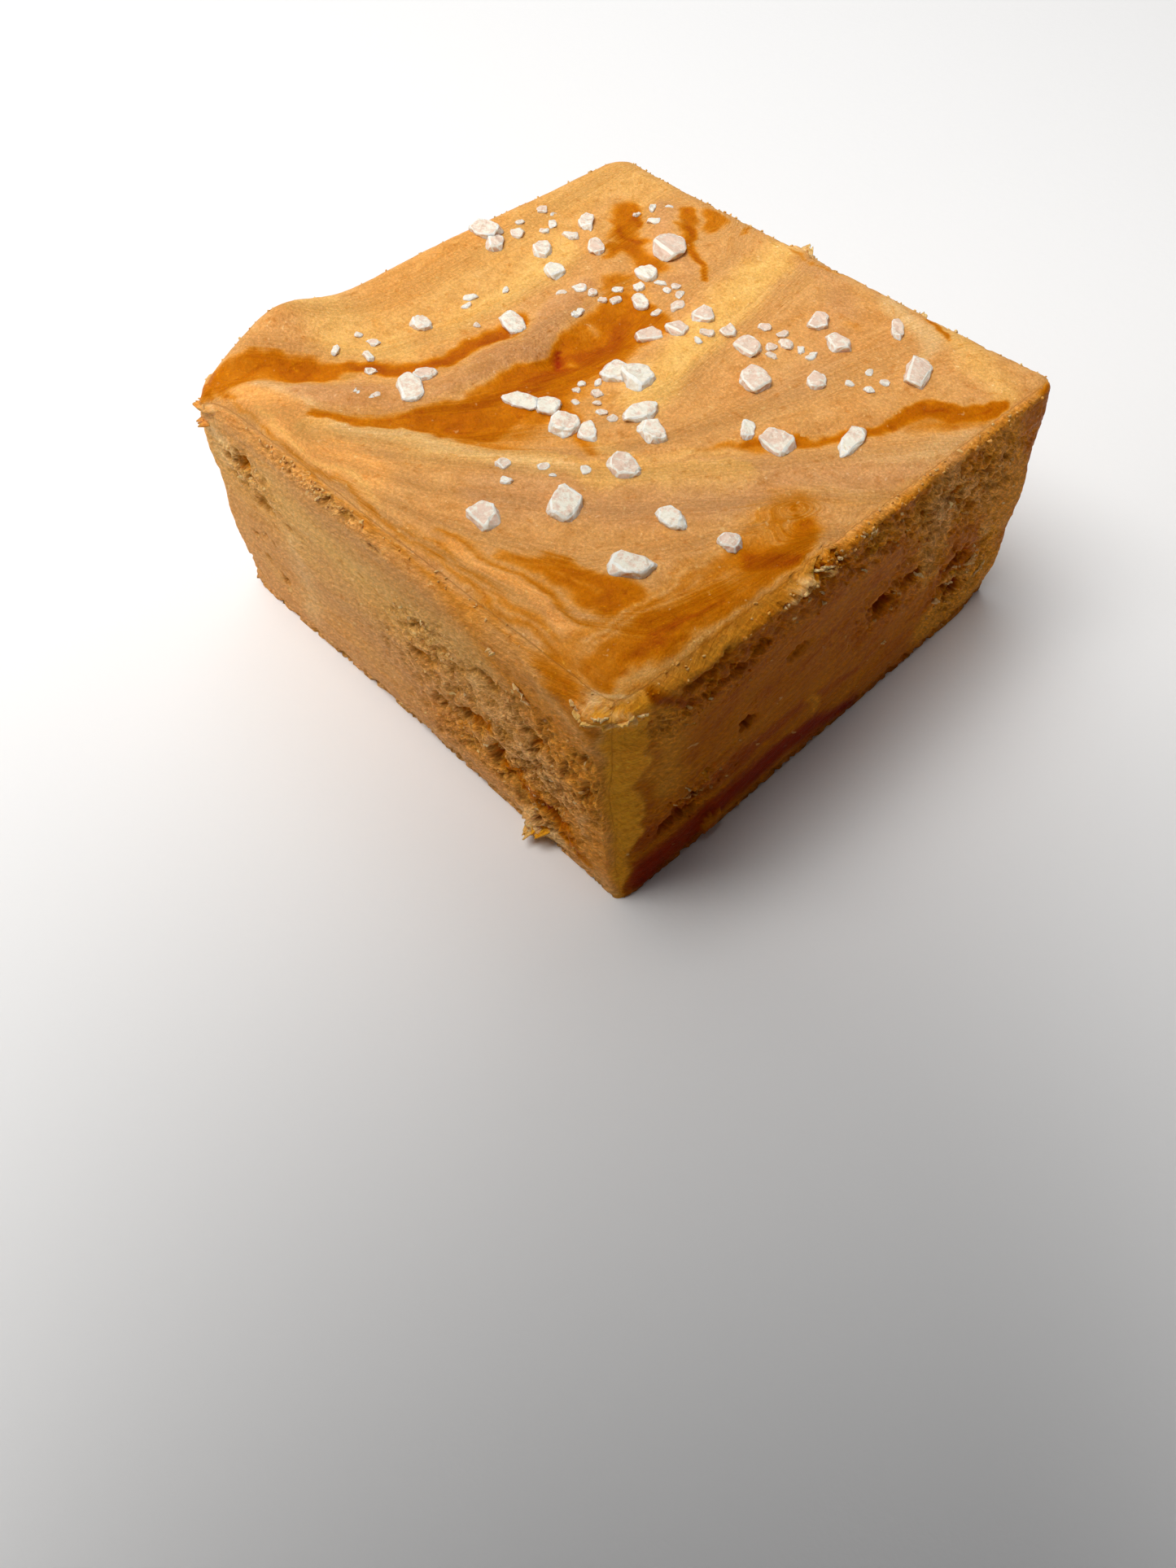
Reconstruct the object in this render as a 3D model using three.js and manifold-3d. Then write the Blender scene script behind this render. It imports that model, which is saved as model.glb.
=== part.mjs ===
// A square of swirled caramel fudge, cut by hand from a slab, with coarse salt pressed into its top.
// Millimetres, +Z up. The origin is at the middle of the underside. The cut face at -Y and the cut
// face at +X are the two that are worked out in most detail; the other two are cut the same way.
import * as THREE from "three";
import { mergeVertices } from "three/addons/utils/BufferGeometryUtils.js";
import { ConvexGeometry } from "three/addons/geometries/ConvexGeometry.js";
import Module from "manifold-3d";

// Size of the square
const THICKNESS = 18.5;
const SIDE_AT = {
  minusX: { bottom: -20.2, top: -20.6 },
  plusX: { bottom: 20.4, top: 19.9 },
  minusY: { bottom: -19.6, top: -20.0 },
  plusY: { bottom: 19.9, top: 20.6 },
};
// How far each upright corner is rounded back along X and along Y, at its foot and at its top. The near
// corner has a smear that is wide at the top and runs out to a sharp tip at the foot.
const CORNERS = {
  near: { foot: { x: 0.7, y: 1.1 }, top: { x: 3.2, y: 3.6 } },
  right: { foot: { x: 0.4, y: 0.4 }, top: { x: 1.5, y: 1.6 } },
  far: { foot: { x: 2.2, y: 2.2 }, top: { x: 2.2, y: 2.2 } },
  left: { foot: { x: 0.4, y: 0.4 }, top: { x: 1.2, y: 2.0 } },
};
// How deep the roll at the top edge is: in general, and where it meets each side
const TOP_ROLL = { general: 1.2, minusX: 1.2, plusX: 0.6, minusY: 2.0, plusY: 1.0 };
const CELLS_ACROSS = 32;
const CELLS_HIGH = 13;
// How much closer together the cells lie towards the edges, from 0, which is evenly spread
const EDGE_CROWDING = 0.35;
// The block is shaped a little too deep and then cut off flat
const SPARE_BELOW = 0.8;

// Swells and hollows that folding in the caramel left in the top: middle, half length, half width,
// turn in degrees and height
const SWELLS = [
  { x: -21.8, y: -12.0, long: 4.6, wide: 3.4, turn: 0, height: 1.6 },
  { x: -20.5, y: 0, long: 14, wide: 3.5, turn: 90, height: 0.5 },
  { x: -21.0, y: -21.5, long: 3.6, wide: 3.2, turn: 45, height: -1.9 },
  { x: -15.6, y: -14.4, long: 4.2, wide: 1.2, turn: 42, height: -0.55 },
  { x: -12.5, y: -16.2, long: 5.5, wide: 1.6, turn: 20, height: 0.3 },
  { x: -4.2, y: 2.2, long: 6.0, wide: 2.5, turn: 90, height: -0.6 },
  { x: -4.7, y: -1.3, long: 1.1, wide: 0.9, turn: 0, height: -0.45 },
  { x: -7.4, y: -4.0, long: 7.0, wide: 1.2, turn: 95, height: 0.35 },
  { x: -3.2, y: -10.4, long: 7.0, wide: 1.6, turn: 35, height: -0.35 },
  { x: -11.0, y: 12.6, long: 3.4, wide: 1.8, turn: -30, height: -0.3 },
  { x: -9.6, y: 15.0, long: 2.2, wide: 1.1, turn: -35, height: 0.3 },
  { x: 0.4, y: 6.5, long: 9.5, wide: 1.9, turn: 110, height: 0.3 },
  { x: 14.0, y: 7.0, long: 9.0, wide: 0.9, turn: 58, height: -0.2 },
  { x: 16.6, y: -8.0, long: 6.5, wide: 1.7, turn: 90, height: -0.3 },
  { x: 9.0, y: -15.2, long: 6.0, wide: 1.2, turn: 8, height: -0.2 },
  { x: 21.0, y: -11.0, long: 6.5, wide: 1.6, turn: 90, height: -1.4 },
];

// Holes and torn places in a cut face: place along it, height, half length, half height, depth, turn.
// A negative depth stands proud, as a ragged lip or a flake does.
const TEARS = {
  minusY: [
    { along: -15.2, up: 14.2, long: 1.6, wide: 0.9, depth: 0.45, turn: 25 },
    { along: -14.2, up: 11.4, long: 1.2, wide: 0.7, depth: 0.35, turn: 20 },
    { along: -20.2, up: 1.4, long: 1.4, wide: 1.8, depth: 0.6, turn: 0 },
    { along: -3.0, up: 0.4, long: 7.0, wide: 0.9, depth: 0.2, turn: 0 },
    { along: 2.6, up: 9.3, long: 1.8, wide: 0.6, depth: 0.4, turn: 20 },
    { along: 7.0, up: 7.2, long: 2.2, wide: 0.7, depth: 0.7, turn: 28 },
    { along: 9.4, up: 12.7, long: 1.4, wide: 0.6, depth: 0.5, turn: 5 },
    { along: 9.2, up: 4.4, long: 0.9, wide: 1.1, depth: 0.9, turn: 30 },
    { along: 14.3, up: 3.4, long: 1.3, wide: 1.0, depth: 1.0, turn: 20 },
    { along: 13.2, up: 10.6, long: 1.8, wide: 0.7, depth: 0.45, turn: -10 },
    { along: 17.8, up: 9.8, long: 1.1, wide: 0.9, depth: 0.45, turn: 30 },
    { along: 12.9, up: 1.2, long: 1.3, wide: 1.0, depth: -0.7, turn: 20 },
    { along: 18.6, up: 17.4, long: 1.6, wide: 0.8, depth: -0.6, turn: 0 },
    { along: -19.0, up: 17.0, long: 1.3, wide: 0.8, depth: -0.5, turn: 0 },
  ],
  plusX: [
    { along: -20.2, up: 9.0, long: 2.8, wide: 6.5, depth: 0.9, turn: 0 },
    { along: -14.4, up: 4.6, long: 2.2, wide: 0.7, depth: 0.6, turn: 0 },
    { along: -8.7, up: 8.7, long: 0.9, wide: 0.7, depth: 0.8, turn: -20 },
    { along: -4.2, up: 11.8, long: 1.4, wide: 0.4, depth: 0.35, turn: 0 },
    { along: 4.5, up: 9.4, long: 1.2, wide: 0.8, depth: 0.9, turn: -15 },
    { along: 8.0, up: 9.7, long: 0.8, wide: 0.7, depth: 0.6, turn: 0 },
    { along: 13.4, up: 7.6, long: 2.0, wide: 0.7, depth: 0.8, turn: 10 },
    { along: 14.2, up: 4.7, long: 1.0, wide: 0.8, depth: 1.0, turn: 0 },
    { along: 19.6, up: 0.0, long: 2.4, wide: 2.6, depth: 0.45, turn: 0 },
    { along: 19.6, up: 9.0, long: 2.6, wide: 4.5, depth: -0.25, turn: 0 },
    { along: -19.0, up: 17.2, long: 1.4, wide: 0.8, depth: -0.4, turn: 0 },
    { along: -3.8, up: 17.4, long: 2.6, wide: 0.6, depth: -0.3, turn: 0 },
  ],
  minusX: [
    { along: -19.0, up: 17.0, long: 1.4, wide: 0.8, depth: -0.4, turn: 0 },
    { along: -12.5, up: 17.2, long: 4.6, wide: 2.6, depth: -0.9, turn: 0 },
    { along: 6.0, up: 11.0, long: 1.8, wide: 0.7, depth: 0.6, turn: 12 },
    { along: -5.0, up: 6.0, long: 1.3, wide: 0.9, depth: 0.7, turn: -15 },
    { along: 12.5, up: 5.0, long: 2.0, wide: 0.8, depth: 0.6, turn: 20 },
    { along: -13.0, up: 10.5, long: 1.1, wide: 0.8, depth: 0.5, turn: 0 },
  ],
  plusY: [
    { along: 19.6, up: 0.0, long: 2.4, wide: 2.6, depth: 0.55, turn: 0 },
    { along: 19.6, up: 9.0, long: 2.6, wide: 4.5, depth: -0.2, turn: 0 },
    { along: -1.5, up: 18.0, long: 1.2, wide: 0.8, depth: -0.4, turn: 0 },
    { along: -9.0, up: 8.5, long: 1.9, wide: 0.7, depth: 0.7, turn: 18 },
    { along: 3.0, up: 4.5, long: 1.2, wide: 0.9, depth: 0.7, turn: 0 },
    { along: 11.5, up: 11.0, long: 1.7, wide: 0.7, depth: 0.5, turn: -12 },
    { along: -15.0, up: 13.0, long: 1.1, wide: 0.8, depth: 0.5, turn: 10 },
  ],
};
const KNIFE_DRAG = { height: 0.1, long: 9, wide: 2.1, lean: 0.18 };

// The coarse grains of salt, laid where the salt fell thickest: place, length, width and turn
const COARSE_GRAINS = [
  [-18.9, 5.0, 2.6, 2.0, 10],
  [-17.2, 4.6, 2.0, 1.5, -40],
  [-14.8, 11.3, 2.1, 1.3, -40],
  [-12.0, 9.6, 2.0, 1.3, -30],
  [-14.4, 6.6, 2.1, 1.5, -45],
  [-12.0, 5.4, 2.1, 1.5, -20],
  [-8.2, 13.3, 3.4, 2.5, -45],
  [-7.1, 9.9, 1.8, 1.6, 0],
  [-0.6, 8.8, 1.9, 1.7, 20],
  [-0.9, 6.5, 1.9, 1.5, 0],
  [-2.1, 5.0, 1.8, 1.6, 60],
  [-5.3, 7.3, 2.1, 1.2, -30],
  [-9.3, -0.8, 2.9, 1.7, -30],
  [-13.7, -5.2, 1.8, 1.5, -10],
  [-8.8, -10.2, 3.1, 1.8, -25],
  [-9.2, -8.6, 1.7, 1.5, 30],
  [-0.6, 0.5, 2.2, 2.1, 20],
  [1.0, 0.9, 2.8, 2.5, -20],
  [3.5, -1.4, 2.7, 1.6, 70],
  [5.2, -2.1, 2.4, 1.6, -15],
  [-2.9, -5.8, 2.9, 1.5, 20],
  [-1.2, -5.0, 1.9, 1.6, -40],
  [0.8, -5.5, 2.4, 2.0, 30],
  [2.3, -5.0, 2.0, 1.3, -40],
  [6.1, -5.7, 2.5, 1.9, -20],
  [6.3, -10.5, 3.1, 2.1, -55],
  [3.5, -14.5, 2.4, 1.8, -10],
  [12.4, -11.3, 3.1, 2.1, 30],
  [11.4, -6.9, 2.2, 1.7, -30],
  [15.0, -5.8, 1.6, 1.5, 0],
  [11.2, 2.7, 2.6, 2.1, 0],
  [9.1, 2.3, 2.0, 1.1, -45],
  [14.4, 6.0, 3.2, 1.3, -70],
  [6.3, 6.2, 2.6, 2.1, -20],
  [9.0, 9.0, 2.2, 1.3, -55],
  [3.6, 8.5, 2.0, 1.8, 0],
  [5.0, 14.0, 2.2, 1.5, -70],
  [7.5, 13.1, 2.0, 1.7, -20],
  [9.3, 17.1, 2.4, 1.1, -55],
  [13.2, 14.3, 3.2, 1.8, -60],
];
// The finer grains lie in drifts: middle, spread, number of grains and longest grain
const DRIFTS = [
  { x: -15.5, y: 8.5, spread: 3.2, grains: 7, longest: 1.4 },
  { x: -5.5, y: 8.3, spread: 2.6, grains: 9, longest: 1.4 },
  { x: -8.3, y: 4.6, spread: 1.8, grains: 5, longest: 1.4 },
  { x: -11.6, y: 15.6, spread: 1.8, grains: 4, longest: 1.3 },
  { x: 5.0, y: 11.2, spread: 2.2, grains: 7, longest: 1.4 },
  { x: 0.5, y: 8.0, spread: 1.8, grains: 3, longest: 1.4 },
  { x: 0.5, y: -3.2, spread: 3.4, grains: 8, longest: 1.2 },
  { x: -12.5, y: -10.5, spread: 3.4, grains: 7, longest: 1.4 },
  { x: -11.8, y: -0.8, spread: 2.6, grains: 4, longest: 1.2 },
  { x: 2.5, y: -9.0, spread: 3.4, grains: 5, longest: 1.1 },
  { x: 11.8, y: 11.2, spread: 1.8, grains: 4, longest: 1.1 },
];
const GRAIN_SEED = 2931;
// Every second corner of a grain stands on its flat top, drawn in by a share, the rest round its foot
const GRAIN_CORNERS = 14;
const GRAIN_TOP_SHARE = 0.86;
const GRAIN_FLATNESS = 0.7;
const SHORTEST_SHARE = 0.5;
const SLENDER = { least: 0.55, most: 0.95 };
const GRAIN_THICKNESS = 0.34;
const GRAIN_SUNK = 0.36;
const GRAIN_TIPPED = 7;
const GRAIN_BOXY = 0.6;
const CORNER_REACH = { least: 0.76, most: 1.2 };
const CORNER_STRAY = 0.9;
const TRIES_A_GRAIN = 24;

// A mesh reads 32-bit numbers, so corners this close are one
const WELD = 1e-4;
const FUDGE_TAN = 0xd9a066;

const degrees = THREE.MathUtils.degToRad;
const mix = THREE.MathUtils.lerp;

// A hill of height 1 with an oval foot, turned by `turn` degrees
function hill(du, dv, long, wide, turn) {
  const c = Math.cos(degrees(turn));
  const s = Math.sin(degrees(turn));
  const along = (du * c + dv * s) / long;
  const across = (dv * c - du * s) / wide;
  return Math.exp(-(along * along + across * across));
}

// The height of the top over the plan position x, y
function topHeight(x, y) {
  let height = THICKNESS;
  for (const s of SWELLS) height += s.height * hill(x - s.x, y - s.y, s.long, s.wide, s.turn);
  return height;
}

// How far a cut face stands out at a place along it and a height up it
function faceRelief(face, along, up) {
  const lean = up - KNIFE_DRAG.lean * along;
  const drag =
    Math.sin(along / KNIFE_DRAG.long + 2.1 * Math.sin(lean / KNIFE_DRAG.wide)) +
    Math.sin((2 * lean) / KNIFE_DRAG.wide + along / KNIFE_DRAG.long);
  let out = (KNIFE_DRAG.height * drag) / 2;
  for (const t of TEARS[face])
    out -= t.depth * hill(along - t.along, up - t.up, t.long, t.wide, t.turn);
  return out;
}

// A corner radius along the axis, at a plan place given from -1 to 1 each way and a share of the height
function cornerRound(axis, a, b, share) {
  const at = (name) => mix(CORNERS[name].foot[axis], CORNERS[name].top[axis], share);
  const u = (a + 1) / 2;
  const v = (b + 1) / 2;
  return mix(mix(at("left"), at("near"), u), mix(at("far"), at("right"), u), v);
}

// How deep the roll at the top edge is over a plan place given from -1 to 1 each way
function topRoll(a, b) {
  const sideX = TOP_ROLL[a > 0 ? "plusX" : "minusX"] - TOP_ROLL.general;
  const sideY = TOP_ROLL[b > 0 ? "plusY" : "minusY"] - TOP_ROLL.general;
  return TOP_ROLL.general + sideX * a ** 4 + sideY * b ** 4;
}

// How far a coordinate lies in the rounded band at either end of its range, from -1 to 1
function inBand(value, low, high, band) {
  return Math.max(0, (value - high + band) / band) - Math.max(0, (low + band - value) / band);
}

// Draws a place from -1 to 1 towards the nearer end
function crowd(a) {
  return mix(a, Math.sin((a * Math.PI) / 2), EDGE_CROWDING);
}

// Carries a point of the plain box, a and b from -1 to 1 and c from 0 to 1, onto the fudge
function shape(a, b, c, target) {
  const side = (name) => mix(SIDE_AT[name].bottom, SIDE_AT[name].top, c);
  const x = mix(side("minusX"), side("plusX"), (a + 1) / 2);
  const y = mix(side("minusY"), side("plusY"), (b + 1) / 2);
  const top = topHeight(x, y);
  const z = mix(-SPARE_BELOW, top, c);
  const rx = cornerRound("x", a, b, c);
  const ry = cornerRound("y", a, b, c);
  const rz = topRoll(a, b);
  const band = new THREE.Vector3(
    inBand(x, side("minusX"), side("plusX"), rx),
    inBand(y, side("minusY"), side("plusY"), ry),
    Math.max(0, (z - top + rz) / rz),
  );
  const out = band.clone().divideScalar(Math.max(1, band.length()));
  target.set(x + (out.x - band.x) * rx, y + (out.y - band.y) * ry, z + (out.z - band.z) * rz);
  target.x += out.x * faceRelief(out.x > 0 ? "plusX" : "minusX", y, z);
  target.y += out.y * faceRelief(out.y > 0 ? "plusY" : "minusY", x, z);
  return target;
}

// The plain block: a box cut into cells, each corner carried onto the fudge's own form
function blockGeometry() {
  const box = new THREE.BoxGeometry(2, 2, 2, CELLS_ACROSS, CELLS_ACROSS, CELLS_HIGH);
  const corners = box.getAttribute("position");
  const point = new THREE.Vector3();
  for (let i = 0; i < corners.count; i++) {
    const [a, b, c] = [corners.getX(i), corners.getY(i), corners.getZ(i)].map(crowd);
    shape(a, b, (c + 1) / 2, point);
    corners.setXYZ(i, point.x, point.y, point.z);
  }
  return box;
}

// A repeatable run of numbers from 0 to 1
function drawsFrom(seed) {
  let state = seed;
  return () => {
    state = (state * 1664525 + 1013904223) % 4294967296;
    return state / 4294967296;
  };
}

// Every grain as { x, y, length, width, turn }: the coarse ones first, then the drifts, each finer
// grain tried again until it lies clear of those before it
function grainPlaces(draw) {
  const grains = COARSE_GRAINS.map(([x, y, length, width, turn]) => ({ x, y, length, width, turn }));
  for (const drift of DRIFTS)
    for (let i = 0; i < drift.grains; i++)
      for (let tries = 0; tries < TRIES_A_GRAIN; tries++) {
        const bearing = 2 * Math.PI * draw();
        const reach = drift.spread * Math.sqrt(draw());
        const length = drift.longest * mix(SHORTEST_SHARE, 1, draw());
        const grain = {
          x: drift.x + reach * Math.cos(bearing),
          y: drift.y + reach * Math.sin(bearing),
          length,
          width: length * mix(SLENDER.least, SLENDER.most, draw()),
          turn: 180 * draw(),
        };
        const clear = grains.every((g) => Math.hypot(g.x - grain.x, g.y - grain.y) > (g.length + length) / 2);
        if (!clear) continue;
        grains.push(grain);
        break;
      }
  return grains;
}

// One grain: the hull of the corners round its flat top and its foot, part sunk in the fudge
function grainGeometry(grain, draw) {
  const half = new THREE.Vector3(grain.length, grain.width, grain.width * GRAIN_THICKNESS).divideScalar(2);
  const corners = [];
  for (let k = 0; k < GRAIN_CORNERS; k++) {
    const onTop = k % 2 === 0;
    const bearing = (2 * Math.PI * (k + CORNER_STRAY * draw())) / GRAIN_CORNERS;
    const widest = Math.max(Math.abs(Math.cos(bearing)), Math.abs(Math.sin(bearing)));
    const boxy = mix(1, widest, GRAIN_BOXY);
    const reach = (mix(CORNER_REACH.least, CORNER_REACH.most, draw()) / boxy) * (onTop ? GRAIN_TOP_SHARE : 1);
    const rise = mix(GRAIN_FLATNESS, 1, draw()) * (onTop ? 1 : -1);
    corners.push(new THREE.Vector3(reach * Math.cos(bearing), reach * Math.sin(bearing), rise).multiply(half));
  }
  const hull = new ConvexGeometry(corners);
  hull.rotateX(degrees(GRAIN_TIPPED * (2 * draw() - 1)));
  hull.rotateZ(degrees(grain.turn));
  hull.translate(grain.x, grain.y, topHeight(grain.x, grain.y) + half.z * (1 - 2 * GRAIN_SUNK));
  return hull;
}

const wasm = await Module();
wasm.setup();

function solidOf(geometry) {
  const bare = geometry.clone();
  bare.deleteAttribute("normal");
  bare.deleteAttribute("uv");
  const welded = mergeVertices(bare, WELD);
  const vertProperties = new Float32Array(welded.getAttribute("position").array);
  const triVerts = new Uint32Array(welded.index.array);
  return new wasm.Manifold(new wasm.Mesh({ numProp: 3, vertProperties, triVerts }));
}

function geometryOf(solid) {
  const mesh = solid.getMesh();
  const geometry = new THREE.BufferGeometry();
  geometry.setAttribute("position", new THREE.BufferAttribute(new Float32Array(mesh.vertProperties), 3));
  geometry.setIndex(new THREE.BufferAttribute(new Uint32Array(mesh.triVerts), 1));
  return geometry;
}

function fudgeMesh() {
  const draw = drawsFrom(GRAIN_SEED);
  const below = new THREE.BoxGeometry(3 * THICKNESS, 3 * THICKNESS, THICKNESS);
  below.translate(0, 0, -THICKNESS / 2);
  let solid = solidOf(blockGeometry()).subtract(solidOf(below));
  for (const grain of grainPlaces(draw)) solid = solid.add(solidOf(grainGeometry(grain, draw)));
  const geometry = geometryOf(solid);
  geometry.computeVertexNormals();
  const material = new THREE.MeshStandardMaterial({ color: FUDGE_TAN, roughness: 0.55, metalness: 0 });
  const mesh = new THREE.Mesh(geometry, material);
  mesh.name = "fudge";
  return mesh;
}

const square = new THREE.Group();
square.add(fudgeMesh());

export default square;
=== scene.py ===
"""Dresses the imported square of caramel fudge: its torn skin and swirl, its salt and its crumbs.

Lengths are in millimetres until a mesh is handed to Blender, which works in metres.
"""
import logging
import math
from collections.abc import Iterable, Iterator, Sequence
from dataclasses import dataclass, field
from enum import Enum

import bmesh
import bpy
from mathutils import Matrix, Vector, noise


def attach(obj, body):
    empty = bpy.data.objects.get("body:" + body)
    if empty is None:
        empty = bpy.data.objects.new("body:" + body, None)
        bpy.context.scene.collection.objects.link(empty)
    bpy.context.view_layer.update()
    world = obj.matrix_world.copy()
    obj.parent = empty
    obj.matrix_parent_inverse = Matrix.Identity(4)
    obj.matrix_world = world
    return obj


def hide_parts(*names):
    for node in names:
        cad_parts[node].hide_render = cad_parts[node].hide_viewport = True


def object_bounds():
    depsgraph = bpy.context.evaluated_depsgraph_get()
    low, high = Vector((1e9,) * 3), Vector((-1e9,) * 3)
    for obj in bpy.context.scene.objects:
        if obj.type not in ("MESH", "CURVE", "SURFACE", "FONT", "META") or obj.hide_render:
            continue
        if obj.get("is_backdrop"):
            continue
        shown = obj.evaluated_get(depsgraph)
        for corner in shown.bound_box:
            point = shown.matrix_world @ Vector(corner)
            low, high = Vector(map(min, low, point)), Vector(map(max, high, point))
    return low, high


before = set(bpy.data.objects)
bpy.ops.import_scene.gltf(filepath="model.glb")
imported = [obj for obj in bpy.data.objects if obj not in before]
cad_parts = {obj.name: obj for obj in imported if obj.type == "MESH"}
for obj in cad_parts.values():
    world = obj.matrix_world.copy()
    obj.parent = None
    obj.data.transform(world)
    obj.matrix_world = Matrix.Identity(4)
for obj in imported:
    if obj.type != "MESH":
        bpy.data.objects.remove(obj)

BOUNDS_OF_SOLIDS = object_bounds()
MM = 0.001
LOG = logging.getLogger("fudge")

Rgb = tuple[float, float, float]
Place = tuple[float, float]
Socket = bpy.types.NodeSocket
Mesh = bmesh.types.BMesh
Vert = bmesh.types.BMVert


class Tone(Enum):
    """The pale colours folded through the fudge, two with painted light, as linear red, green and blue."""

    TAN = (0.74, 0.37, 0.12)
    CREAM = (0.81, 0.43, 0.125)
    YELLOW = (0.92, 0.53, 0.16)
    PALE = (0.90, 0.62, 0.30)
    ORANGE = (0.80, 0.36, 0.09)
    MAUVE = (0.66, 0.33, 0.13)
    GOLD = (0.76, 0.28, 0.015)
    # Honey: smeared caramel, brightened with painted light for the smeared near corner and the top edge of
    # the +X side, which face away from the lamps.
    HONEY_AND_PAINTED_LIGHT = (1.0, 0.42, 0.025)
    BROWN = (0.50, 0.22, 0.03)
    # A painted highlight: a pale sheen, brighter than the fudge's own colour.
    PAINTED_SHEEN = (1.0, 0.46, 0.125)


class Caramel(Enum):
    """How thick the caramel lies in a band, from a thin glaze to the darkest pool."""

    GLAZE = 0.42
    THIN = 0.56
    AMBER = 0.78
    DEEP = 1.02
    RED = 1.45


class CutSide(Enum):
    """The four sides that the knife left, each named for the way it looks."""

    MINUS_X = "minus_x"
    PLUS_X = "plus_x"
    MINUS_Y = "minus_y"
    PLUS_Y = "plus_y"


def blend(a: float, b: float, share: float) -> float:
    """Returns the value that lies `share` of the way from a to b."""
    return a + (b - a) * share


def ease(value: float) -> float:
    """Returns 0 below 0, 1 above 1 and a smooth step between them."""
    t = min(max(value, 0.0), 1.0)
    return t * t * (3.0 - 2.0 * t)


def step(value: float, start: float, width: float) -> float:
    """Returns a smooth step from 0 to 1 that begins at `start` and is `width` wide."""
    return ease((value - start) / width)


def ripple(u: float, v: float, w: float, scale: float) -> float:
    """Returns smooth noise between about -1 and 1, with bumps about 1 / scale mm across."""
    return noise.noise(Vector((u * scale, v * scale, w * scale)))


@dataclass(frozen=True)
class Wobble:
    """A layer of smooth unevenness.

    Attributes:
        height: How far it goes up and down.
        scale: How fine it is: its bumps are about 1 / scale mm across.
        seed: Keeps it apart from other layers.
        long: How much longer than wide its bumps are.
    """

    height: float
    scale: float
    seed: float = 0.0
    long: float = 1.0

    def at(self, u: float, v: float, seed: float = 0.0) -> float:
        """Returns its height at a place, with a further seed."""
        return self.height * ripple(u / self.long, v, seed + self.seed, self.scale)


def heaped(layers: Iterable[Wobble], u: float, v: float, seed: float = 0.0) -> float:
    """Returns the height of several layers together at a place."""
    return sum(layer.at(u, v, seed) for layer in layers)


@dataclass(frozen=True)
class Hill:
    """An oval hill, or a hollow where its height is negative, on any flat face.

    Attributes:
        u: Place of its middle along the face.
        v: Place of its middle across the face.
        long: Half of its length.
        wide: Half of its width.
        height: Its height at the middle.
        turn: How far it is turned, in degrees.
    """

    u: float
    v: float
    long: float
    wide: float
    height: float
    turn: float = 0.0

    def share(self, u: float, v: float) -> float:
        """Returns how much of the hill stands at a place, from 0 to 1."""
        du = u - self.u
        dv = v - self.v
        reach = 3.0 * max(self.long, self.wide)
        if abs(du) > reach or abs(dv) > reach:
            return 0.0
        c = math.cos(math.radians(self.turn))
        s = math.sin(math.radians(self.turn))
        along = (du * c + dv * s) / self.long
        across = (dv * c - du * s) / self.wide
        return math.exp(-(along * along + across * across))

    def at(self, u: float, v: float) -> float:
        """Returns the hill's height at a place."""
        return self.height * self.share(u, v)


def pair(value: float | Place) -> Place:
    """Returns two numbers, which are the same where only one is given."""
    return value if isinstance(value, tuple) else (value, value)


def from_line(line: Sequence[Place], u: float, v: float) -> tuple[float, float, float]:
    """Measures a place from a line of straight runs.

    Args:
        line: The places that the line runs through.
        u: Place along the face.
        v: Place across the face.

    Returns:
        The squared distance to the line, a number above 0 to the left of it and below 0 to the right, and
        how far along the line the nearest place is, from 0 to 1.
    """
    best = (math.inf, 0.0, 0.0)
    for i, ((pu, pv), (qu, qv)) in enumerate(zip(line, line[1:])):
        eu = qu - pu
        ev = qv - pv
        t = min(max(((u - pu) * eu + (v - pv) * ev) / (eu * eu + ev * ev), 0.0), 1.0)
        du = u - pu - t * eu
        dv = v - pv - t * ev
        far = du * du + dv * dv
        if far < best[0]:
            best = (far, eu * (v - pv) - ev * (u - pu), (i + t) / (len(line) - 1))
    return best


@dataclass
class Band:
    """A band folded into a face, drawn along a line.

    Attributes:
        tone: Its colour, which hides what lies under it, or how thick its caramel lies.
        line: The places that it runs through.
        half: Half of its width, or that at its start and at its end.
        soft: How far its edges fade, or how far on the left and on the right of the way it runs.
        strength: How much of it shows.
        rise: How far it stands up, or sinks where negative.
        smeared: Whether the knife smeared it, so that it has no grain.
    """

    tone: Tone | Caramel
    line: tuple[Place, ...]
    half: float | Place
    soft: float | Place
    strength: float = 1.0
    rise: float = 0.0
    smeared: bool = False

    def __post_init__(self) -> None:
        """Takes widths that are given once as two, and works out where the band may reach."""
        self.half = pair(self.half)
        self.soft = pair(self.soft)
        self.reach = max(self.half) + max(self.soft) + 12.0

    def share(self, u: float, v: float) -> float:
        """Returns how much of the band covers a place, from 0 to 1."""
        if not any(abs(u - p) < self.reach and abs(v - q) < self.reach for p, q in self.line):
            return 0.0
        far, side, run = from_line(self.line, u, v)
        soft = self.soft[0] if side > 0 else self.soft[1]
        return self.strength * ease((blend(*self.half, run) - math.sqrt(far)) / soft + 0.5)


@dataclass(frozen=True)
class FlowLine:
    """A line that the fold runs along, with its rank across the fold."""

    rank: float
    line: tuple[Place, ...]

    def nearness(self, u: float, v: float) -> float:
        """Returns a weight that falls away from the line."""
        return 1.0 / (from_line(self.line, u, v)[0] + 0.4) ** 2


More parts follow.
